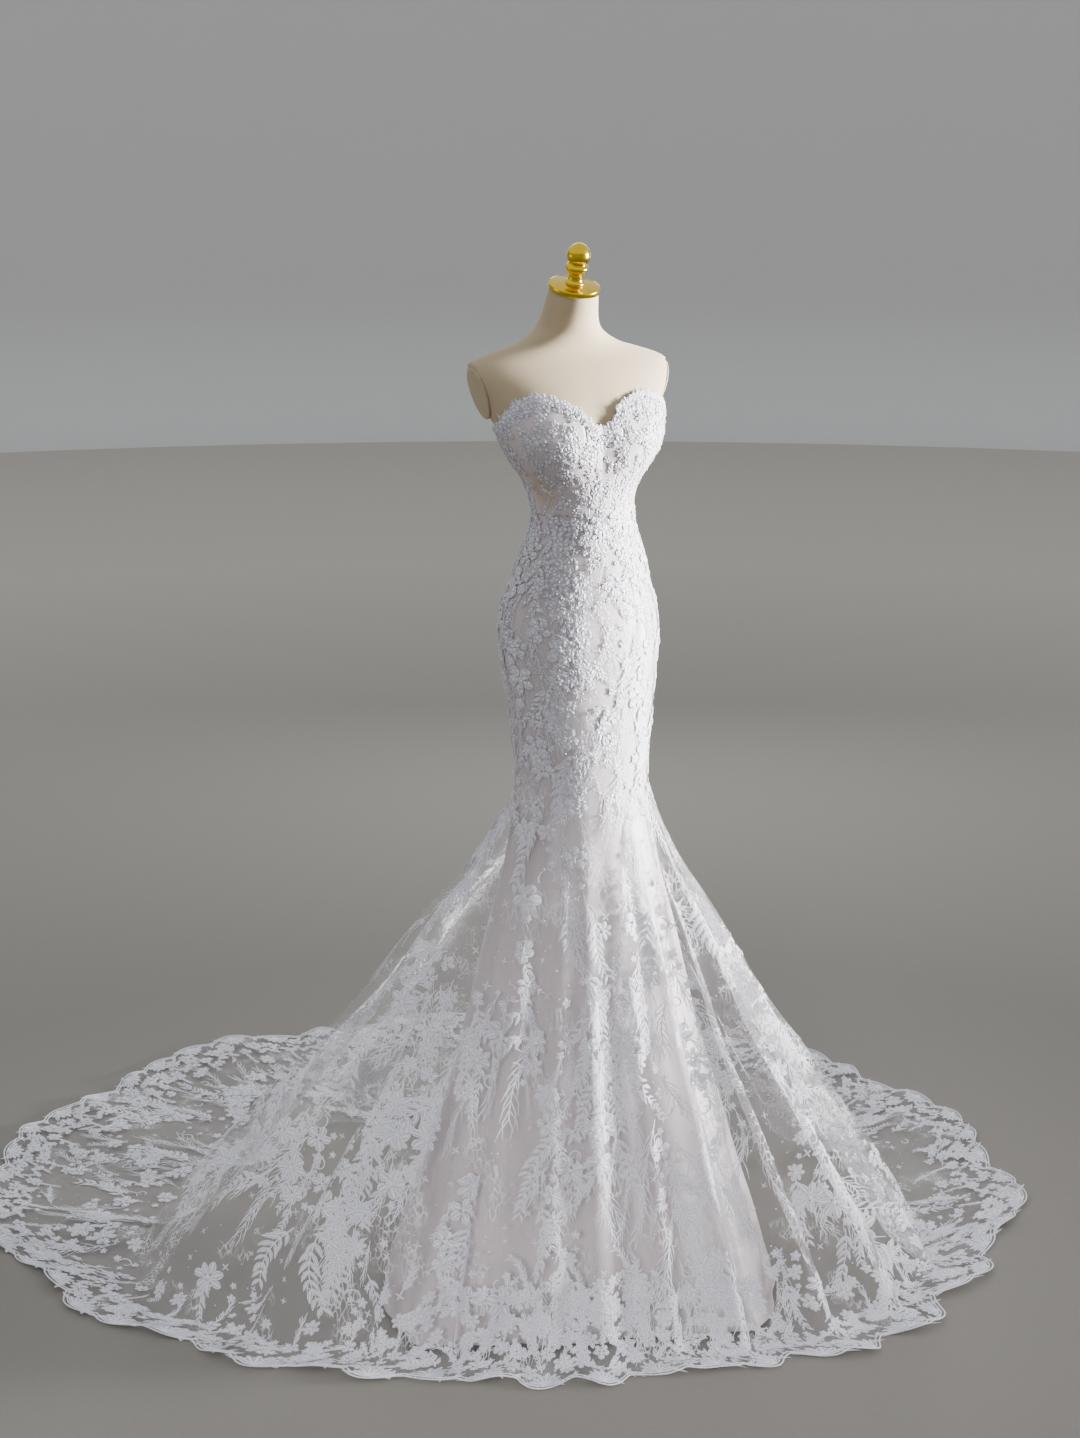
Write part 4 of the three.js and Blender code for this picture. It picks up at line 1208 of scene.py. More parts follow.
def close_ends(made, triangles):
    """Adds end faces to a mesh of quads."""
    mesh = made.data
    points = np.zeros(len(mesh.vertices) * 3, np.float32)
    mesh.vertices.foreach_get("co", points)
    quads = np.zeros(len(mesh.loops), np.int32)
    mesh.loops.foreach_get("vertex_index", quads)
    faces = quads.reshape(-1, 4).tolist() + triangles.tolist()
    mesh.clear_geometry()
    mesh.from_pydata(points.reshape(-1, 3).tolist(), [], faces)
    mesh.polygons.foreach_set("use_smooth", np.full(len(faces), True))
    mesh.update(calc_edges=True)


def weld(made, distance=0.00001, outwards=True):
    """Merges doubled points, such as those at a pole, and can turn the faces outwards."""
    work = bmesh.new()
    work.from_mesh(made.data)
    bmesh.ops.remove_doubles(work, verts=work.verts, dist=distance)
    if outwards:
        bmesh.ops.recalc_face_normals(work, faces=work.faces)
    work.to_mesh(made.data)
    work.free()


def lathe(name, profile, steps):
    """Turned piece on the neck's leaning axis, from (radius, height) pairs in mm."""
    profile = np.asarray(profile, float)
    a = np.linspace(0, 2 * math.pi, steps, endpoint=False)
    out = np.array([math.cos(NECK_TILT), math.sin(NECK_TILT)])
    axis = np.array([0, -math.sin(NECK_TILT), math.cos(NECK_TILT)])
    side = np.array([0, out[0], out[1]])
    centre = np.array(CAP_CENTRE)
    r, h = profile[:, 0][None, :, None], profile[:, 1][None, :, None]
    ring = np.cos(a)[:, None, None] * np.array([1.0, 0, 0]) + np.sin(a)[:, None, None] * side
    points = (centre + axis * h + ring * r).reshape(-1, 3)
    made = add_mesh(name, points * MM, grid_faces(steps, len(profile), closed=True))
    weld(made)
    return made


def smooth_profile(profile):
    """Cuts a quarter of each side off a profile's corners three times, keeping its ends."""
    p = np.asarray(profile, float)
    for _ in range(3):
        a, b = p[:-1], p[1:]
        cut = np.empty((2 * len(a), 2))
        cut[0::2], cut[1::2] = a + (b - a) * 0.25, b - (b - a) * 0.25
        p = np.vstack([p[:1], cut[1:-1], p[-1:]])
    return p


class GOWN_OT_neck_fittings(bpy.types.Operator):
    """Brass neck cap and turned finial, leaning with the neck"""

    bl_idname = "gown.neck_fittings"
    bl_label = "Neck cap and finial"

    def execute(self, context):
        cap = lathe("neck_cap_brass", [
            (0, 0), (46.6, 0), (47.6, 0.4), (48, 1.4), (48, 8.4), (47.5, 9.5), (46.4, 10), (0, 10),
        ], 96)
        ends = [(0, 10.3), (17, 10.3)]
        shape = [
            (17, 10.3), (18, 15), (13, 19), (12.5, 30), (18, 35), (22, 42), (19, 48), (15, 51),
            (20, 56), (22.5, 65), (20, 75), (14, 83), (6, 88), (0, 89),
        ]
        finial = lathe("neck_finial_brass", ends + smooth_profile(shape)[1:].tolist(), 64)
        for piece, node in ((cap, "neck_cap"), (finial, "neck_finial")):
            piece.data.materials.append(material_for("brass"))
            finish_piece(piece, "polished_brass", node)
        return {"FINISHED"}


class GOWN_OT_stand(bpy.types.Operator):
    """Finish of the stand's pole and base, which stay as they are in the frame"""

    bl_idname = "gown.stand"
    bl_label = "Stand"

    def execute(self, context):
        for name in ("stand_base", "stand_pole"):
            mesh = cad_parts[name].data
            mesh.materials.clear()
            mesh.materials.append(material_for("steel"))
        return {"FINISHED"}


class GOWN_OT_bodice(bpy.types.Operator):
    """Boned bodice in seven panels, from the waist seam up to the neckline"""

    bl_idname = "gown.bodice"
    bl_label = "Bodice panels"

    def execute(self, context):
        for name, (start, end) in BODICE_PANELS.items():
            columns, rows, gap = max(int((end - start) / 1.5), 8) + 1, 44, 0.08
            angle = np.linspace(start + gap, end - gap, columns)[:, None]
            share = np.linspace(1, 0, rows)[None]
            bottom = WAIST_Z + 0.3
            z = bottom + (neckline_z(angle) - bottom) * share
            ridge = 0.5 * (bell(angle - start, 0.9) + bell(angle - end, 0.9)) * np.ones_like(z)
            outer = body_point(angle, z, ridge)
            inner = body_point(angle, z, -BODICE_THICK)
            points = np.vstack([outer.reshape(-1, 3), inner.reshape(-1, 3)]) * MM
            faces = shell_faces(columns, rows)
            panel = dressed(f"{name}_cloth", points, faces, "foundation", "bodice_lace", name)
            nude = self.nude_mask(np.broadcast_to(angle, z.shape), z)
            point_value(panel, "nude", np.tile(nude.ravel(), 2))
        return {"FINISHED"}

    @staticmethod
    def nude_mask(angle, z):
        """How much of the skin-coloured net shows: windows at the side waist."""
        side = np.abs(turned(angle))
        window = bell(side - 62, 11) * bell(z - 1652, 24)
        return np.clip(window * 1.5, 0, 1)


class GOWN_OT_lining(bpy.types.Operator):
    """Satin lining in two halves, from the waist seam to just above the floor"""

    bl_idname = "gown.lining"
    bl_label = "Lining"

    def execute(self, context):
        z = np.concatenate([
            np.linspace(WAIST_Z, KNEE_Z, 36), np.linspace(KNEE_Z - 12, LINING_HEM_Z, 72),
        ])
        for name, start, end in (("lining_front", -90, 90), ("lining_back", 90, 270)):
            angle = np.linspace(start, end, 73)[:, None]
            points = self.place(angle, z[None]).reshape(-1, 3) * MM
            faces = grid_faces(73, len(z))
            half = dressed(f"{name}_satin", points, faces, "lining", "lining_satin", name)
        return {"FINISHED"}

    @staticmethod
    def place(angle, z):
        """Points of the lining at those angles and heights."""
        angle, z = np.broadcast_arrays(angle, z)
        a = np.radians(angle)
        upper = body_point(angle, np.maximum(z, KNEE_Z), LINING_OUT)
        touch = read_table(PLAN[:, 0], PLAN[:, 1], turned(angle))
        ease = LINING_EASE * read_table(FOLD_STRENGTH[:, 0], FOLD_STRENGTH[:, 1], z)
        reach = np.minimum(LINING_REACH, touch - LINING_CLEAR) - ease
        knee = body_point(angle, KNEE_Z, LINING_OUT - ease)
        foot = np.stack([np.sin(a) * reach, -np.cos(a) * reach, 0 * z], -1)
        share = read_table(FLARE[:, 0], FLARE[:, 1], z)[..., None]
        lower = knee + (foot - knee) * share
        lower[..., 2] = z
        # Soft upright folds that open towards the hem
        fold = 5.0 * np.sin(np.radians(angle) * 17 + 0.6 * np.sin(np.radians(angle) * 5))
        grow = np.clip((KNEE_Z - z) / 700, 0, 1) * (fold - 5.0)
        lower[..., 0] += np.sin(a) * grow
        lower[..., 1] -= np.cos(a) * grow
        return np.where((z >= KNEE_Z)[..., None], upper, lower)


class GOWN_OT_skirt_net(bpy.types.Operator):
    """Net of the seven skirt gores, from the waist seam to the border"""

    bl_idname = "gown.skirt_net"
    bl_label = "Skirt net"

    def execute(self, context):
        rows = context.scene.gown_sizes.net_rows
        for name, (start, end) in GORES.items():
            columns = int((end - start) / 1.05) + 2
            angle = np.linspace(start, end, columns)[:, None]
            top = KNEE_Z - WAIST_Z
            end_run = LACE.hem_run(angle) - BAND_WIDTH
            run = top + (end_run - top) * np.linspace(0, 1, rows)[None]
            angle = np.broadcast_to(angle, run.shape)
            points = LACE.at(angle, run, 0.0).reshape(-1, 3)
            faces = grid_faces(columns, rows)
            net = dressed(f"{name}_net", points, faces, "tulle", "skirt_lace", name)
        return {"FINISHED"}


def scallop_share(angle):
    """Depth of the scalloped edge at an angle, from 0 between scallops to 1 at their middle."""
    return 0.5 - 0.5 * np.cos(2 * math.pi * scallop_count(angle))


def scallop_count(angle):
    """Scallops passed along the hem since the back."""
    return np.interp(turned(np.asarray(angle, float)), LACE.angles, HEM_ARC) / HEM_PITCH


HEM_POINTS = LACE.at(LACE.angles, LACE.hem_run(LACE.angles), 0.0)
HEM_ARC = arc_of(HEM_POINTS) / MM
HEM_PITCH = HEM_ARC[-1] / round(HEM_ARC[-1] / SCALLOP_PITCH)


def edge_depth(angle):
    """How far the scalloped edge stands past the hem line."""
    return SCALLOP_DEPTH * np.sqrt(np.maximum(scallop_share(angle), 0))


class GOWN_OT_border_net(bpy.types.Operator):
    """Net ground of the scalloped hem border"""

    bl_idname = "gown.border_net"
    bl_label = "Border net"
    ROWS, DEPTH = 13, 0.152

    def execute(self, context):
        for name, (start, end) in BANDS.items():
            inside = turned(np.array([start + 0.01, end - 0.01]))
            arc = abs(float(np.diff(np.interp(inside, LACE.angles, HEM_ARC))[0]))
            arc = arc if end <= 180 or start >= 180 else HEM_ARC[-1] - arc
            columns = int(arc / 9) + 2
            angle = self.even_angles(start, end, columns)[:, None]
            share = np.linspace(0, 1, self.ROWS)[None]
            depth = edge_depth(angle)
            run = LACE.hem_run(angle) - BAND_WIDTH + (BAND_WIDTH + depth) * share
            points = LACE.at(np.broadcast_to(angle, run.shape), run, 0.0).reshape(-1, 3)
            faces = grid_faces(columns, self.ROWS)
            net = dressed(f"{name}_net", points, faces, "tulle", "border_lace", name)
        return {"FINISHED"}

    @staticmethod
    def even_angles(start, end, columns):
        """Angles that lie evenly along the hem."""
        fine = np.linspace(start, end, 600)
        arc = arc_of(LACE.at(fine, LACE.hem_run(fine), 0.0))
        return np.interp(np.linspace(0, arc[-1], columns), arc, fine)


class GOWN_OT_skirt_lace(bpy.types.Operator):
    """Embroidered flowers, leaf sprays, ferns, tendrils and sprigs on the skirt's gores"""

    bl_idname = "gown.skirt_lace"
    bl_label = "Skirt embroidery"

    def execute(self, context):
        sizes = context.scene.gown_sizes
        rng = np.random.default_rng(11)
        radius = sizes.flower_radius / MM
        flowers = [flower(rng, radius * s) for s in (1.0, 0.85, 1.1, 0.75)]
        sprays = [leaf_spray(rng, s) for s in (95, 120, 80, 105)]
        ferns = [fern_spray(rng, s) for s in (110, 150, 90, 130)]
        blossoms = [rosette(rng, s) for s in (8, 10, 6.5)]
        tendrils = [scroll(rng, s) for s in (16, 20)]
        top, bottom = KNEE_Z - WAIST_Z + 20, 2000
        layers = []

        def layer(motifs, spacing, turn, scale, keep_off, trail, side_trail=0.0):
            """Adds sites for these motifs, each drawn once for every layer."""
            found = thrown_sites(rng, spacing, top, bottom, keep_off, trail)
            clear = trail_strength(found[:, 0], found[:, 1]) < side_trail
            aside = np.abs(turned(found[:, 0]))
            keep = ~clear | (aside < FRONT_LACE) | (found[:, 1] < HIP_RUN)
            found, aside = found[keep], aside[keep]
            found = found[(aside <= TRAIN_FROM) | (rng.random(len(found)) < TRAIN_SHARE)]
            sites = with_turn(rng, found, *turn, *scale)
            which = rng.integers(0, len(motifs), len(sites))
            for k, motif in enumerate(motifs):
                layers.append((motif, sites[which == k]))

        flower_gap = sizes.flower_spacing / MM
        layer(flowers, flower_gap * 0.72, (0, 6.28), (0.7, 1.2), 165, 0.54)
        layer(sprays, flower_gap * 0.72, (-0.8, 0.8), (0.75, 1.15), 190, 0.5)
        layer(ferns, sizes.fern_spacing / MM, (-0.4, 0.4), (0.7, 1.2), 190, 0.3, 0.56)
        layer(blossoms, sizes.rosette_spacing / MM * 0.8, (0, 6.28), (0.8, 1.3), 145, 0.4, 0.5)
        layer(tendrils, flower_gap, (0, 6.28), (0.8, 1.2), 160, 0.4, 0.5)
        layer([star(9), star(7)], flower_gap * 0.75, (0, 6.28), (0.8, 1.2), 150, 0.0)
        for name, (start, end) in GORES.items():
            groups = [(m, s[in_sector(s[:, 0], start, end)], False) for m, s in layers]
            lace_piece(f"{name}_embroidery", groups, "skirt_lace")
        return {"FINISHED"}


class GOWN_OT_border_lace(bpy.types.Operator):
    """Dense lace of the border: one repeat to each scallop"""

    bl_idname = "gown.border_lace"
    bl_label = "Border embroidery"

    def execute(self, context):
        rng = np.random.default_rng(23)
        motifs = [scallop_motif(rng, side) for side in (1, -1, 1)]
        count = int(round(HEM_ARC[-1] / HEM_PITCH))
        middles = (np.arange(count) + 0.5) * HEM_PITCH
        angle = np.interp(middles, HEM_ARC, LACE.angles)
        scale = np.full(count, HEM_PITCH / SCALLOP_PITCH)
        sites = np.column_stack([angle, np.full(count, 16.0), np.zeros(count), scale])
        fillers = [flower(rng, 19), flower(rng, 15), rosette(rng, 10), leaf_spray(rng, 52)]
        extra = np.column_stack([
            np.interp(rng.uniform(0, HEM_ARC[-1], 9 * count), HEM_ARC, LACE.angles),
            rng.uniform(-165, -22, 9 * count),
            rng.uniform(0, 6.28, 9 * count), rng.uniform(0.7, 1.15, 9 * count),
        ])
        n = FRONT_FILLERS
        upper = np.column_stack([
            rng.uniform(-80, 80, n), rng.uniform(-215, -95, n),
            rng.uniform(-0.7, 0.7, n) + math.pi * (rng.random(n) < 0.5), rng.uniform(0.8, 1.25, n),
        ])
        extra = np.vstack([extra, upper])
        for name, (start, end) in BANDS.items():
            mine = in_sector(sites[:, 0], start, end)
            index = np.arange(count)
            groups = [(m, sites[mine & (index % 3 == k)], True) for k, m in enumerate(motifs)]
            more = extra[in_sector(extra[:, 0], start, end)]
            groups += [(filler, more[k::4], True) for k, filler in enumerate(fillers)]
            lace_piece(f"{name}_embroidery", groups, "border_lace")
        return {"FINISHED"}


class GOWN_OT_bodice_lace(bpy.types.Operator):
    """Dense small-flowered lace over the bodice and down on to the hips"""

    bl_idname = "gown.bodice_lace"
    bl_label = "Bodice embroidery"

    def execute(self, context):
        rng = np.random.default_rng(37)
        spacing = context.scene.gown_sizes.bodice_spacing / MM
        flowers = [flower(rng, s) for s in (11, 14, 9.5)]
        blossoms = [rosette(rng, s) for s in (8, 6.5)]
        sprays = [leaf_spray(rng, s) for s in (30, 40)]
        top, waist = KNEE_Z - 1835, KNEE_Z - WAIST_Z
        sites = even_sites(rng, spacing, top, waist + 60, 0.35)
        rim = KNEE_Z - neckline_z(sites[:, 0]) + 8
        sites = sites[sites[:, 1] > rim]
        nude = GOWN_OT_bodice.nude_mask(sites[:, 0], KNEE_Z - sites[:, 1])
        sites = sites[rng.random(len(sites)) > nude * 0.8]
        sites = with_turn(rng, sites, 0, 6.28, 0.8, 1.2)
        which = rng.integers(0, 7, len(sites))
        groups = [(m, sites[which == k], False) for k, m in enumerate(flowers + blossoms)]
        hang = sites.copy()
        hang[:, 2] = rng.uniform(-0.9, 0.9, len(hang))
        groups += [(m, hang[which == k + 5], False) for k, m in enumerate(sprays)]
        lace_piece("bodice_embroidery", groups, "bodice_lace")
        return {"FINISHED"}


class GOWN_OT_neckline(bpy.types.Operator):
    """Jagged petal edge along the neckline"""

    bl_idname = "gown.neckline"
    bl_label = "Neckline petals"

    def execute(self, context):
        rng = np.random.default_rng(41)
        fine = np.linspace(-177, 177, 2000)
        arc = arc_of(body_point(fine, neckline_z(fine), 0))
        motifs = [leaf(17, 8.5, 1.2, 0.15), leaf(14, 7.5, 1.2, -0.2), petal(13, 9)]
        groups = []
        for k, motif in enumerate(motifs):
            where = np.arange(k * 2.4, arc[-1], 7.0)
            angle = np.interp(where, arc, fine)
            run = KNEE_Z - neckline_z(angle) + 7
            turn = -math.pi / 2 + rng.uniform(-0.6, 0.6, len(where))
            sites = np.column_stack([angle, run, turn, rng.uniform(0.75, 1.1, len(where))])
            groups.append((facing_out(motif), sites, False))
        flowers = [flower(rng, 11), rosette(rng, 8)]
        for k, motif in enumerate(flowers):
            where = np.arange(5 + 6 * k, arc[-1], 13.0)
            angle = np.interp(where, arc, fine)
            run = KNEE_Z - neckline_z(angle) + rng.uniform(6, 14, len(where))
            sites = with_turn(rng, np.column_stack([angle, run]), 0, 6, 0.8, 1.1)
            groups.append((motif, sites, False))
        edge = lace_piece("neckline_petals", groups, "bodice_lace")
        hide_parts("neckline_trim_left", "neckline_trim_right")
        return {"FINISHED"}


class GOWN_OT_placket(bpy.types.Operator):
    """Covered placket over the centre back zip"""

    bl_idname = "gown.placket"
    bl_label = "Back placket"

    def execute(self, context):
        columns, rows, half_angle = 9, 60, 3.2
        angle = np.linspace(180 - half_angle, 180 + half_angle, columns)[:, None]
        z = np.linspace(1731, 1430, rows)[None]
        crown = 0.8 * np.cos(np.radians((angle - 180) / half_angle * 90))
        outer = body_point(angle, z, 2.5 + crown)
        inner = body_point(angle, z, 1.3 + 0 * z)
        points = np.vstack([outer.reshape(-1, 3), inner.reshape(-1, 3)]) * MM
        faces = shell_faces(columns, rows)
        dressed("back_placket", points, faces, "lining", "bodice_lace", "back_zip_placket")
        return {"FINISHED"}


def new_tree(name, lengths):
    """A tree that takes geometry, named lengths and a finish, and its input node."""
    tree = bpy.data.node_groups.new(name, "GeometryNodeTree")
    face = tree.interface
    face.new_socket("Geometry", in_out="INPUT", socket_type="NodeSocketGeometry")
    for key, value in lengths.items():
        socket = face.new_socket(key, in_out="INPUT", socket_type="NodeSocketFloat")
        socket.default_value = value
    face.new_socket("Finish", in_out="INPUT", socket_type="NodeSocketMaterial")
    face.new_socket("Geometry", in_out="OUTPUT", socket_type="NodeSocketGeometry")
    return tree, add_node(tree, "NodeGroupInput")


def finished_tree(tree, given, geometry):
    """Makes a tree's instances real, gives them the finish and puts them out."""
    real = add_node(tree, "GeometryNodeRealizeInstances", {"Geometry": geometry})
    painted = add_node(
        tree, "GeometryNodeSetMaterial",
        {"Geometry": real.outputs["Geometry"], "Material": given.outputs["Finish"]},
    )
    add_node(tree, "NodeGroupOutput", {"Geometry": painted.outputs["Geometry"]})
    return tree


def cord_tree():
    """Geometry Nodes: a cord swept along an edge, with a small loop bead at each step."""
    tree, given = new_tree("edge_cord", {
        "Cord radius": 0.0015, "Bead spacing": 0.011, "Bead radius": 0.0022,
    })
    line = add_node(tree, "GeometryNodeMeshToCurve", {"Mesh": given.outputs["Geometry"]})
    even = add_node(
        tree, "GeometryNodeResampleCurve", {"Curve": line.outputs["Curve"], "Length": 0.009},
        mode="LENGTH",
    )
    ring = add_node(
        tree, "GeometryNodeCurvePrimitiveCircle",
        {"Resolution": 5, "Radius": given.outputs["Cord radius"]},
    )
    cord = add_node(
        tree, "GeometryNodeCurveToMesh",
        {"Curve": even.outputs["Curve"], "Profile Curve": ring.outputs["Curve"]},
    )
    points = add_node(
        tree, "GeometryNodeCurveToPoints",
        {"Curve": line.outputs["Curve"], "Length": given.outputs["Bead spacing"]}, mode="LENGTH",
    )
    bead = add_node(
        tree, "GeometryNodeMeshUVSphere",
        {"Segments": 5, "Rings": 3, "Radius": given.outputs["Bead radius"]},
    )
    row = add_node(
        tree, "GeometryNodeInstanceOnPoints",
        {"Points": points.outputs["Points"], "Instance": bead.outputs["Mesh"]},
    )
    both = add_node(tree, "GeometryNodeJoinGeometry")
    tree.links.new(cord.outputs["Mesh"], both.inputs["Geometry"])
    tree.links.new(row.outputs["Instances"], both.inputs["Geometry"])
    return finished_tree(tree, given, both.outputs["Geometry"])


def grown_from_line(name, points, tree, values):
    """Grows a tree's geometry along a line of points."""
    mesh = bpy.data.meshes.new(f"{name}_line")
    edges = [(k, k + 1) for k in range(len(points) - 1)]
    mesh.from_pydata([tuple(p) for p in points], edges, [])
    source = bpy.data.objects.new(f"{name}_line", mesh)
    bpy.context.scene.collection.objects.link(source)
    return grown(name, source, tree, values)


def grown(name, source, tree, values):
    """Runs a tree on an object and keeps the result as a plain mesh in its place."""
    modifier = source.modifiers.new("grow", "NODES")
    modifier.node_group = tree
    for item in tree.interface.items_tree:
        if item.item_type == "SOCKET" and item.in_out == "INPUT" and item.name in values:
            modifier[item.identifier] = values[item.name]
    graph = bpy.context.evaluated_depsgraph_get()
    made = bpy.data.meshes.new_from_object(source.evaluated_get(graph), depsgraph=graph)
    made.name = name
    piece = bpy.data.objects.new(name, made)
    bpy.context.scene.collection.objects.link(piece)
    bpy.data.objects.remove(source, do_unlink=True)
    made.polygons.foreach_set("use_smooth", np.full(len(made.polygons), True))
    return piece


class GOWN_OT_edge_cords(bpy.types.Operator):
    """Two cords with small loop beads along the scalloped hem"""

    bl_idname = "gown.edge_cords"
    bl_label = "Edge cords"

    def execute(self, context):
        sizes = context.scene.gown_sizes
        tree = cord_tree()
        arc = np.arange(0, HEM_ARC[-1] + 5, 8.0)
        angle = np.interp(arc, HEM_ARC, LACE.angles)
        radius = sizes.edge_cord / 2
        for k, inset in enumerate((1.0, 9.0)):
            line = LACE.at(angle, LACE.hem_run(angle) + edge_depth(angle) - inset, 1.6)
            line[:, 2] = np.maximum(line[:, 2], radius + 0.0002)
            cord = grown_from_line(f"hem_cord_{k + 1}", line, tree, {
                "Cord radius": radius * (1 - 0.25 * k), "Bead spacing": 0.011 + 0.006 * k,
                "Bead radius": radius * 1.35, "Finish": material_for("thread"),
            })
            finish_piece(cord, "border_lace")
        return {"FINISHED"}


def sequin_tree():
    """Geometry Nodes: small cupped discs scattered on a surface, with a fixed seed."""
    tree, given = new_tree("sequins", {"Per square metre": 300.0, "Sequin radius": 0.0017})
    spread = add_node(
        tree, "GeometryNodeDistributePointsOnFaces",
        {
            "Mesh": given.outputs["Geometry"], "Density": given.outputs["Per square metre"],
            "Seed": 7,
        },
    )
    disc_mesh = add_node(
        tree, "GeometryNodeMeshCone",
        {
            "Vertices": 5, "Radius Top": 0.0004, "Radius Bottom": given.outputs["Sequin radius"],
            "Depth": 0.0005,
        },
        fill_type="NGON",
    )
    lean = add_node(
        tree, "FunctionNodeRandomValue",
        {"Min": (-0.35, -0.35, 0.0), "Max": (0.35, 0.35, 6.28), "Seed": 3},
        data_type="FLOAT_VECTOR",
    )
    row = add_node(
        tree, "GeometryNodeInstanceOnPoints",
        {
            "Points": spread.outputs["Points"], "Instance": disc_mesh.outputs["Mesh"],
            "Rotation": spread.outputs["Rotation"],
        },
    )
    tilted = add_node(
        tree, "GeometryNodeRotateInstances",
        {"Instances": row.outputs["Instances"], "Rotation": lean.outputs["Value"]},
    )
    return finished_tree(tree, given, tilted.outputs["Instances"])


class GOWN_OT_sequins(bpy.types.Operator):
    """Clear sequins sewn over the embroidery"""

    bl_idname = "gown.sequins"
    bl_label = "Sequins"

    def execute(self, context):
        tree = sequin_tree()
        count = context.scene.gown_sizes.sequins
        for side, (start, end) in {"front": (-90, 90), "back": (90, 270)}.items():
            angle = np.linspace(start, end, 91)[:, None]
            top = KNEE_Z - neckline_z(angle) + 6
            run = top + (LACE.hem_run(angle) - 12 - top) * np.linspace(0, 1, 120)[None]
            points = LACE.at(np.broadcast_to(angle, run.shape), run, 2.4)
            points[..., 2] = np.maximum(points[..., 2], 0.004)
            ground = add_mesh(f"sequins_{side}_ground", points.reshape(-1, 3), grid_faces(91, 120))
            values = {"Per square metre": float(count), "Finish": material_for("sequin")}
            finish_piece(grown(f"sequins_{side}", ground, tree, values), "skirt_lace")
        return {"FINISHED"}


class GOWN_OT_cut_list(bpy.types.Operator):
    bl_idname = "gown.cut_list"
    bl_label = "Cut list"

    def execute(self, context):
        return {"FINISHED"}


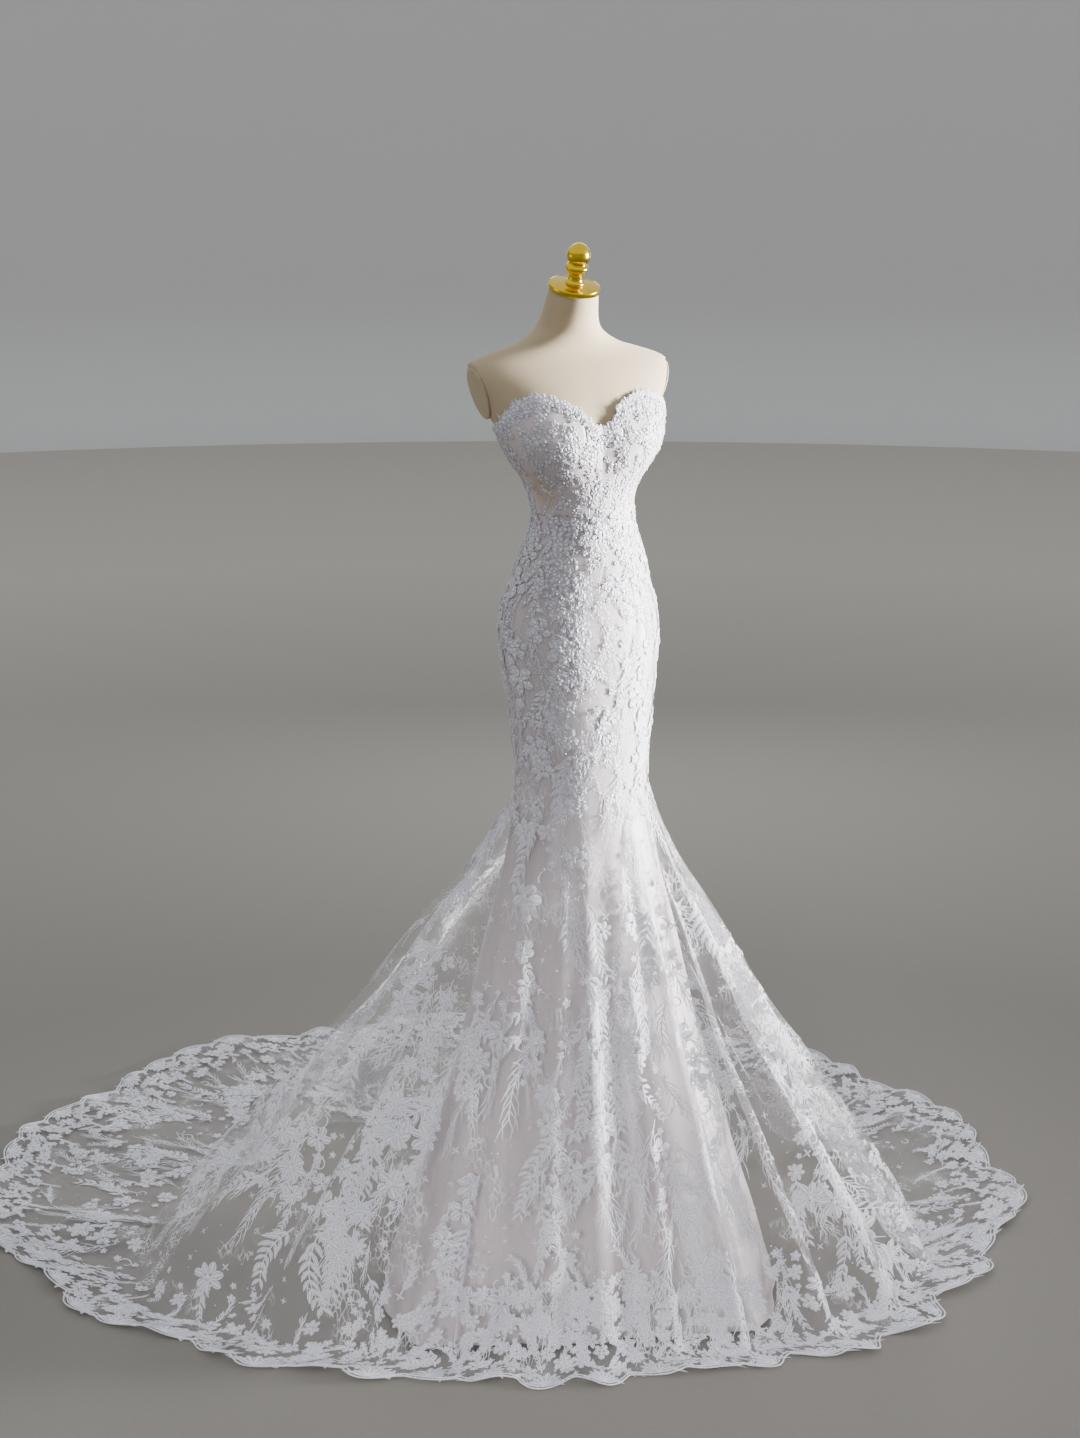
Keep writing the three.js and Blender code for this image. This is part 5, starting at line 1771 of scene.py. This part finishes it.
class GOWN_OT_stage(bpy.types.Operator):
    """Plain floor with a round cove, soft light and the camera"""

    bl_idname = "gown.stage"
    bl_label = "Stage, light and camera"

    def execute(self, context):
        colours = context.scene.gown_colours
        # Metres: the flat floor's radius, the cove's bend and top, and the floor below the gown
        edge, bend, top, below = 13.0, 1.0, 6.5, 0.0002
        # Painted light: the floor's colour is made this many times paler far out, where the lamps
        # don't reach; the cove keeps its colour
        steps, painted_light_gain = 96, 2.2
        turn = np.linspace(0.0, math.pi / 2, 12)
        cove = [(edge + bend * math.sin(t), bend - bend * math.cos(t)) for t in turn]
        rings = (
            ("studio_floor", [(0.0, 0.0), (edge / 2, 0.0), (edge, 0.0)], colours.floor, painted_light_gain),
            ("studio_cove", [*cove, (edge + bend, top)], colours.wall, 1.0),
        )
        a = np.linspace(0, 2 * math.pi, steps, endpoint=False)[:, None]
        for name, ring, colour, far in rings:
            r, h = np.array(ring).T[:, None]
            points = np.stack([r * np.cos(a), r * np.sin(a), h - below + 0 * a], -1)
            faces = grid_faces(steps, len(ring), closed=True)[:, ::-1]
            part = add_mesh(name, points.reshape(-1, 3), faces)
            weld(part, 0.0001, outwards=False)
            paint = studio_paint(f"{name}_paint", list(colour), [c * far for c in colour])
            part.data.materials.append(paint)
        self.lights()
        self.camera(context)
        return {"FINISHED"}

    @staticmethod
    def lights():
        """Even pale air and three lamps with grids."""
        world = bpy.data.worlds.new("studio_air")
        world.use_nodes = True
        air = world.node_tree.nodes["Background"]
        air.inputs["Color"].default_value = (0.78, 0.8, 0.84, 1)
        air.inputs["Strength"].default_value = 0.98
        bpy.context.scene.world = world
        # Grids keep the key on the upper gown and the fill on the hem and its border:
        # name, place, aim, size in metres, spread in degrees and power in watts
        lamps = (
            ("key", (6.6, -2.4, 1.85), (0.0, 0.0, 1.65), 2.0, 21, 150.0),
            ("rim", (1.8, 3.6, 2.4), (0.2, 0.0, 1.0), 1.4, 180, 50.0),
            ("fill", (-4.5, -6.5, 3.4), (-0.5, -0.9, 0.0), 1.8, 16, 7.0),
        )
        for name, place, aim, size, spread, power in lamps:
            data = bpy.data.lights.new(name, "AREA")
            data.size = size
            data.spread = math.radians(spread)
            data.energy = power
            lamp = bpy.data.objects.new(name, data)
            lamp.location = place
            x, y, z = np.array(aim) - np.array(place)
            yaw = math.atan2(y, x)
            pitch = math.atan2(math.hypot(x, y), -z)
            lamp.rotation_euler = (pitch, 0, yaw - math.pi / 2)
            lamp.visible_camera = False
            bpy.context.scene.collection.objects.link(lamp)

    @staticmethod
    def camera(context):
        """The photograph's camera: metres from the pole and up, and degrees round and down."""
        away, height, around, down, aside, lens = 4.2, 2.3, 25.0, 14.6, 1.08, 56.83
        data = bpy.data.cameras.new("camera")
        data.lens = lens
        data.sensor_width = 36.0
        data.sensor_fit = "AUTO"
        camera = bpy.data.objects.new("camera", data)
        turn = math.radians(around)
        camera.location = (-away * math.sin(turn), -away * math.cos(turn), height)
        camera.rotation_euler = (math.radians(90 - down), 0, math.radians(aside - around))
        context.scene.collection.objects.link(camera)
        context.scene.camera = camera


class GOWN_PT_panel(bpy.types.Panel):
    """Sizes, colours and pieces of the gown"""

    bl_idname = "GOWN_PT_panel"
    bl_label = "Lace mermaid gown"
    bl_space_type = "VIEW_3D"
    bl_region_type = "UI"
    bl_category = "Gown"

    def draw(self, context):
        layout = self.layout
        for group in (context.scene.gown_sizes, context.scene.gown_colours):
            for key in group.__annotations__:
                layout.prop(group, key)
        for operator in OPERATORS:
            layout.operator(operator.bl_idname)


OPERATORS = (
    GOWN_OT_form, GOWN_OT_neck_fittings, GOWN_OT_stand, GOWN_OT_bodice, GOWN_OT_lining,
    GOWN_OT_skirt_net, GOWN_OT_border_net, GOWN_OT_skirt_lace, GOWN_OT_border_lace,
    GOWN_OT_bodice_lace, GOWN_OT_neckline, GOWN_OT_placket, GOWN_OT_edge_cords, GOWN_OT_sequins,
    GOWN_OT_cut_list, GOWN_OT_stage,
)
CLASSES = (GownSizes, GownColours, *OPERATORS, GOWN_PT_panel)


def register():
    for cls in CLASSES:
        bpy.utils.register_class(cls)
    bpy.types.Scene.gown_sizes = PointerProperty(type=GownSizes)
    bpy.types.Scene.gown_colours = PointerProperty(type=GownColours)


def unregister():
    del bpy.types.Scene.gown_colours
    del bpy.types.Scene.gown_sizes
    for cls in reversed(CLASSES):
        bpy.utils.unregister_class(cls)


def main():
    register()
    for operator in OPERATORS:
        group, name = operator.bl_idname.split(".")
        getattr(getattr(bpy.ops, group), name)()


if __name__ == "__main__":
    main()
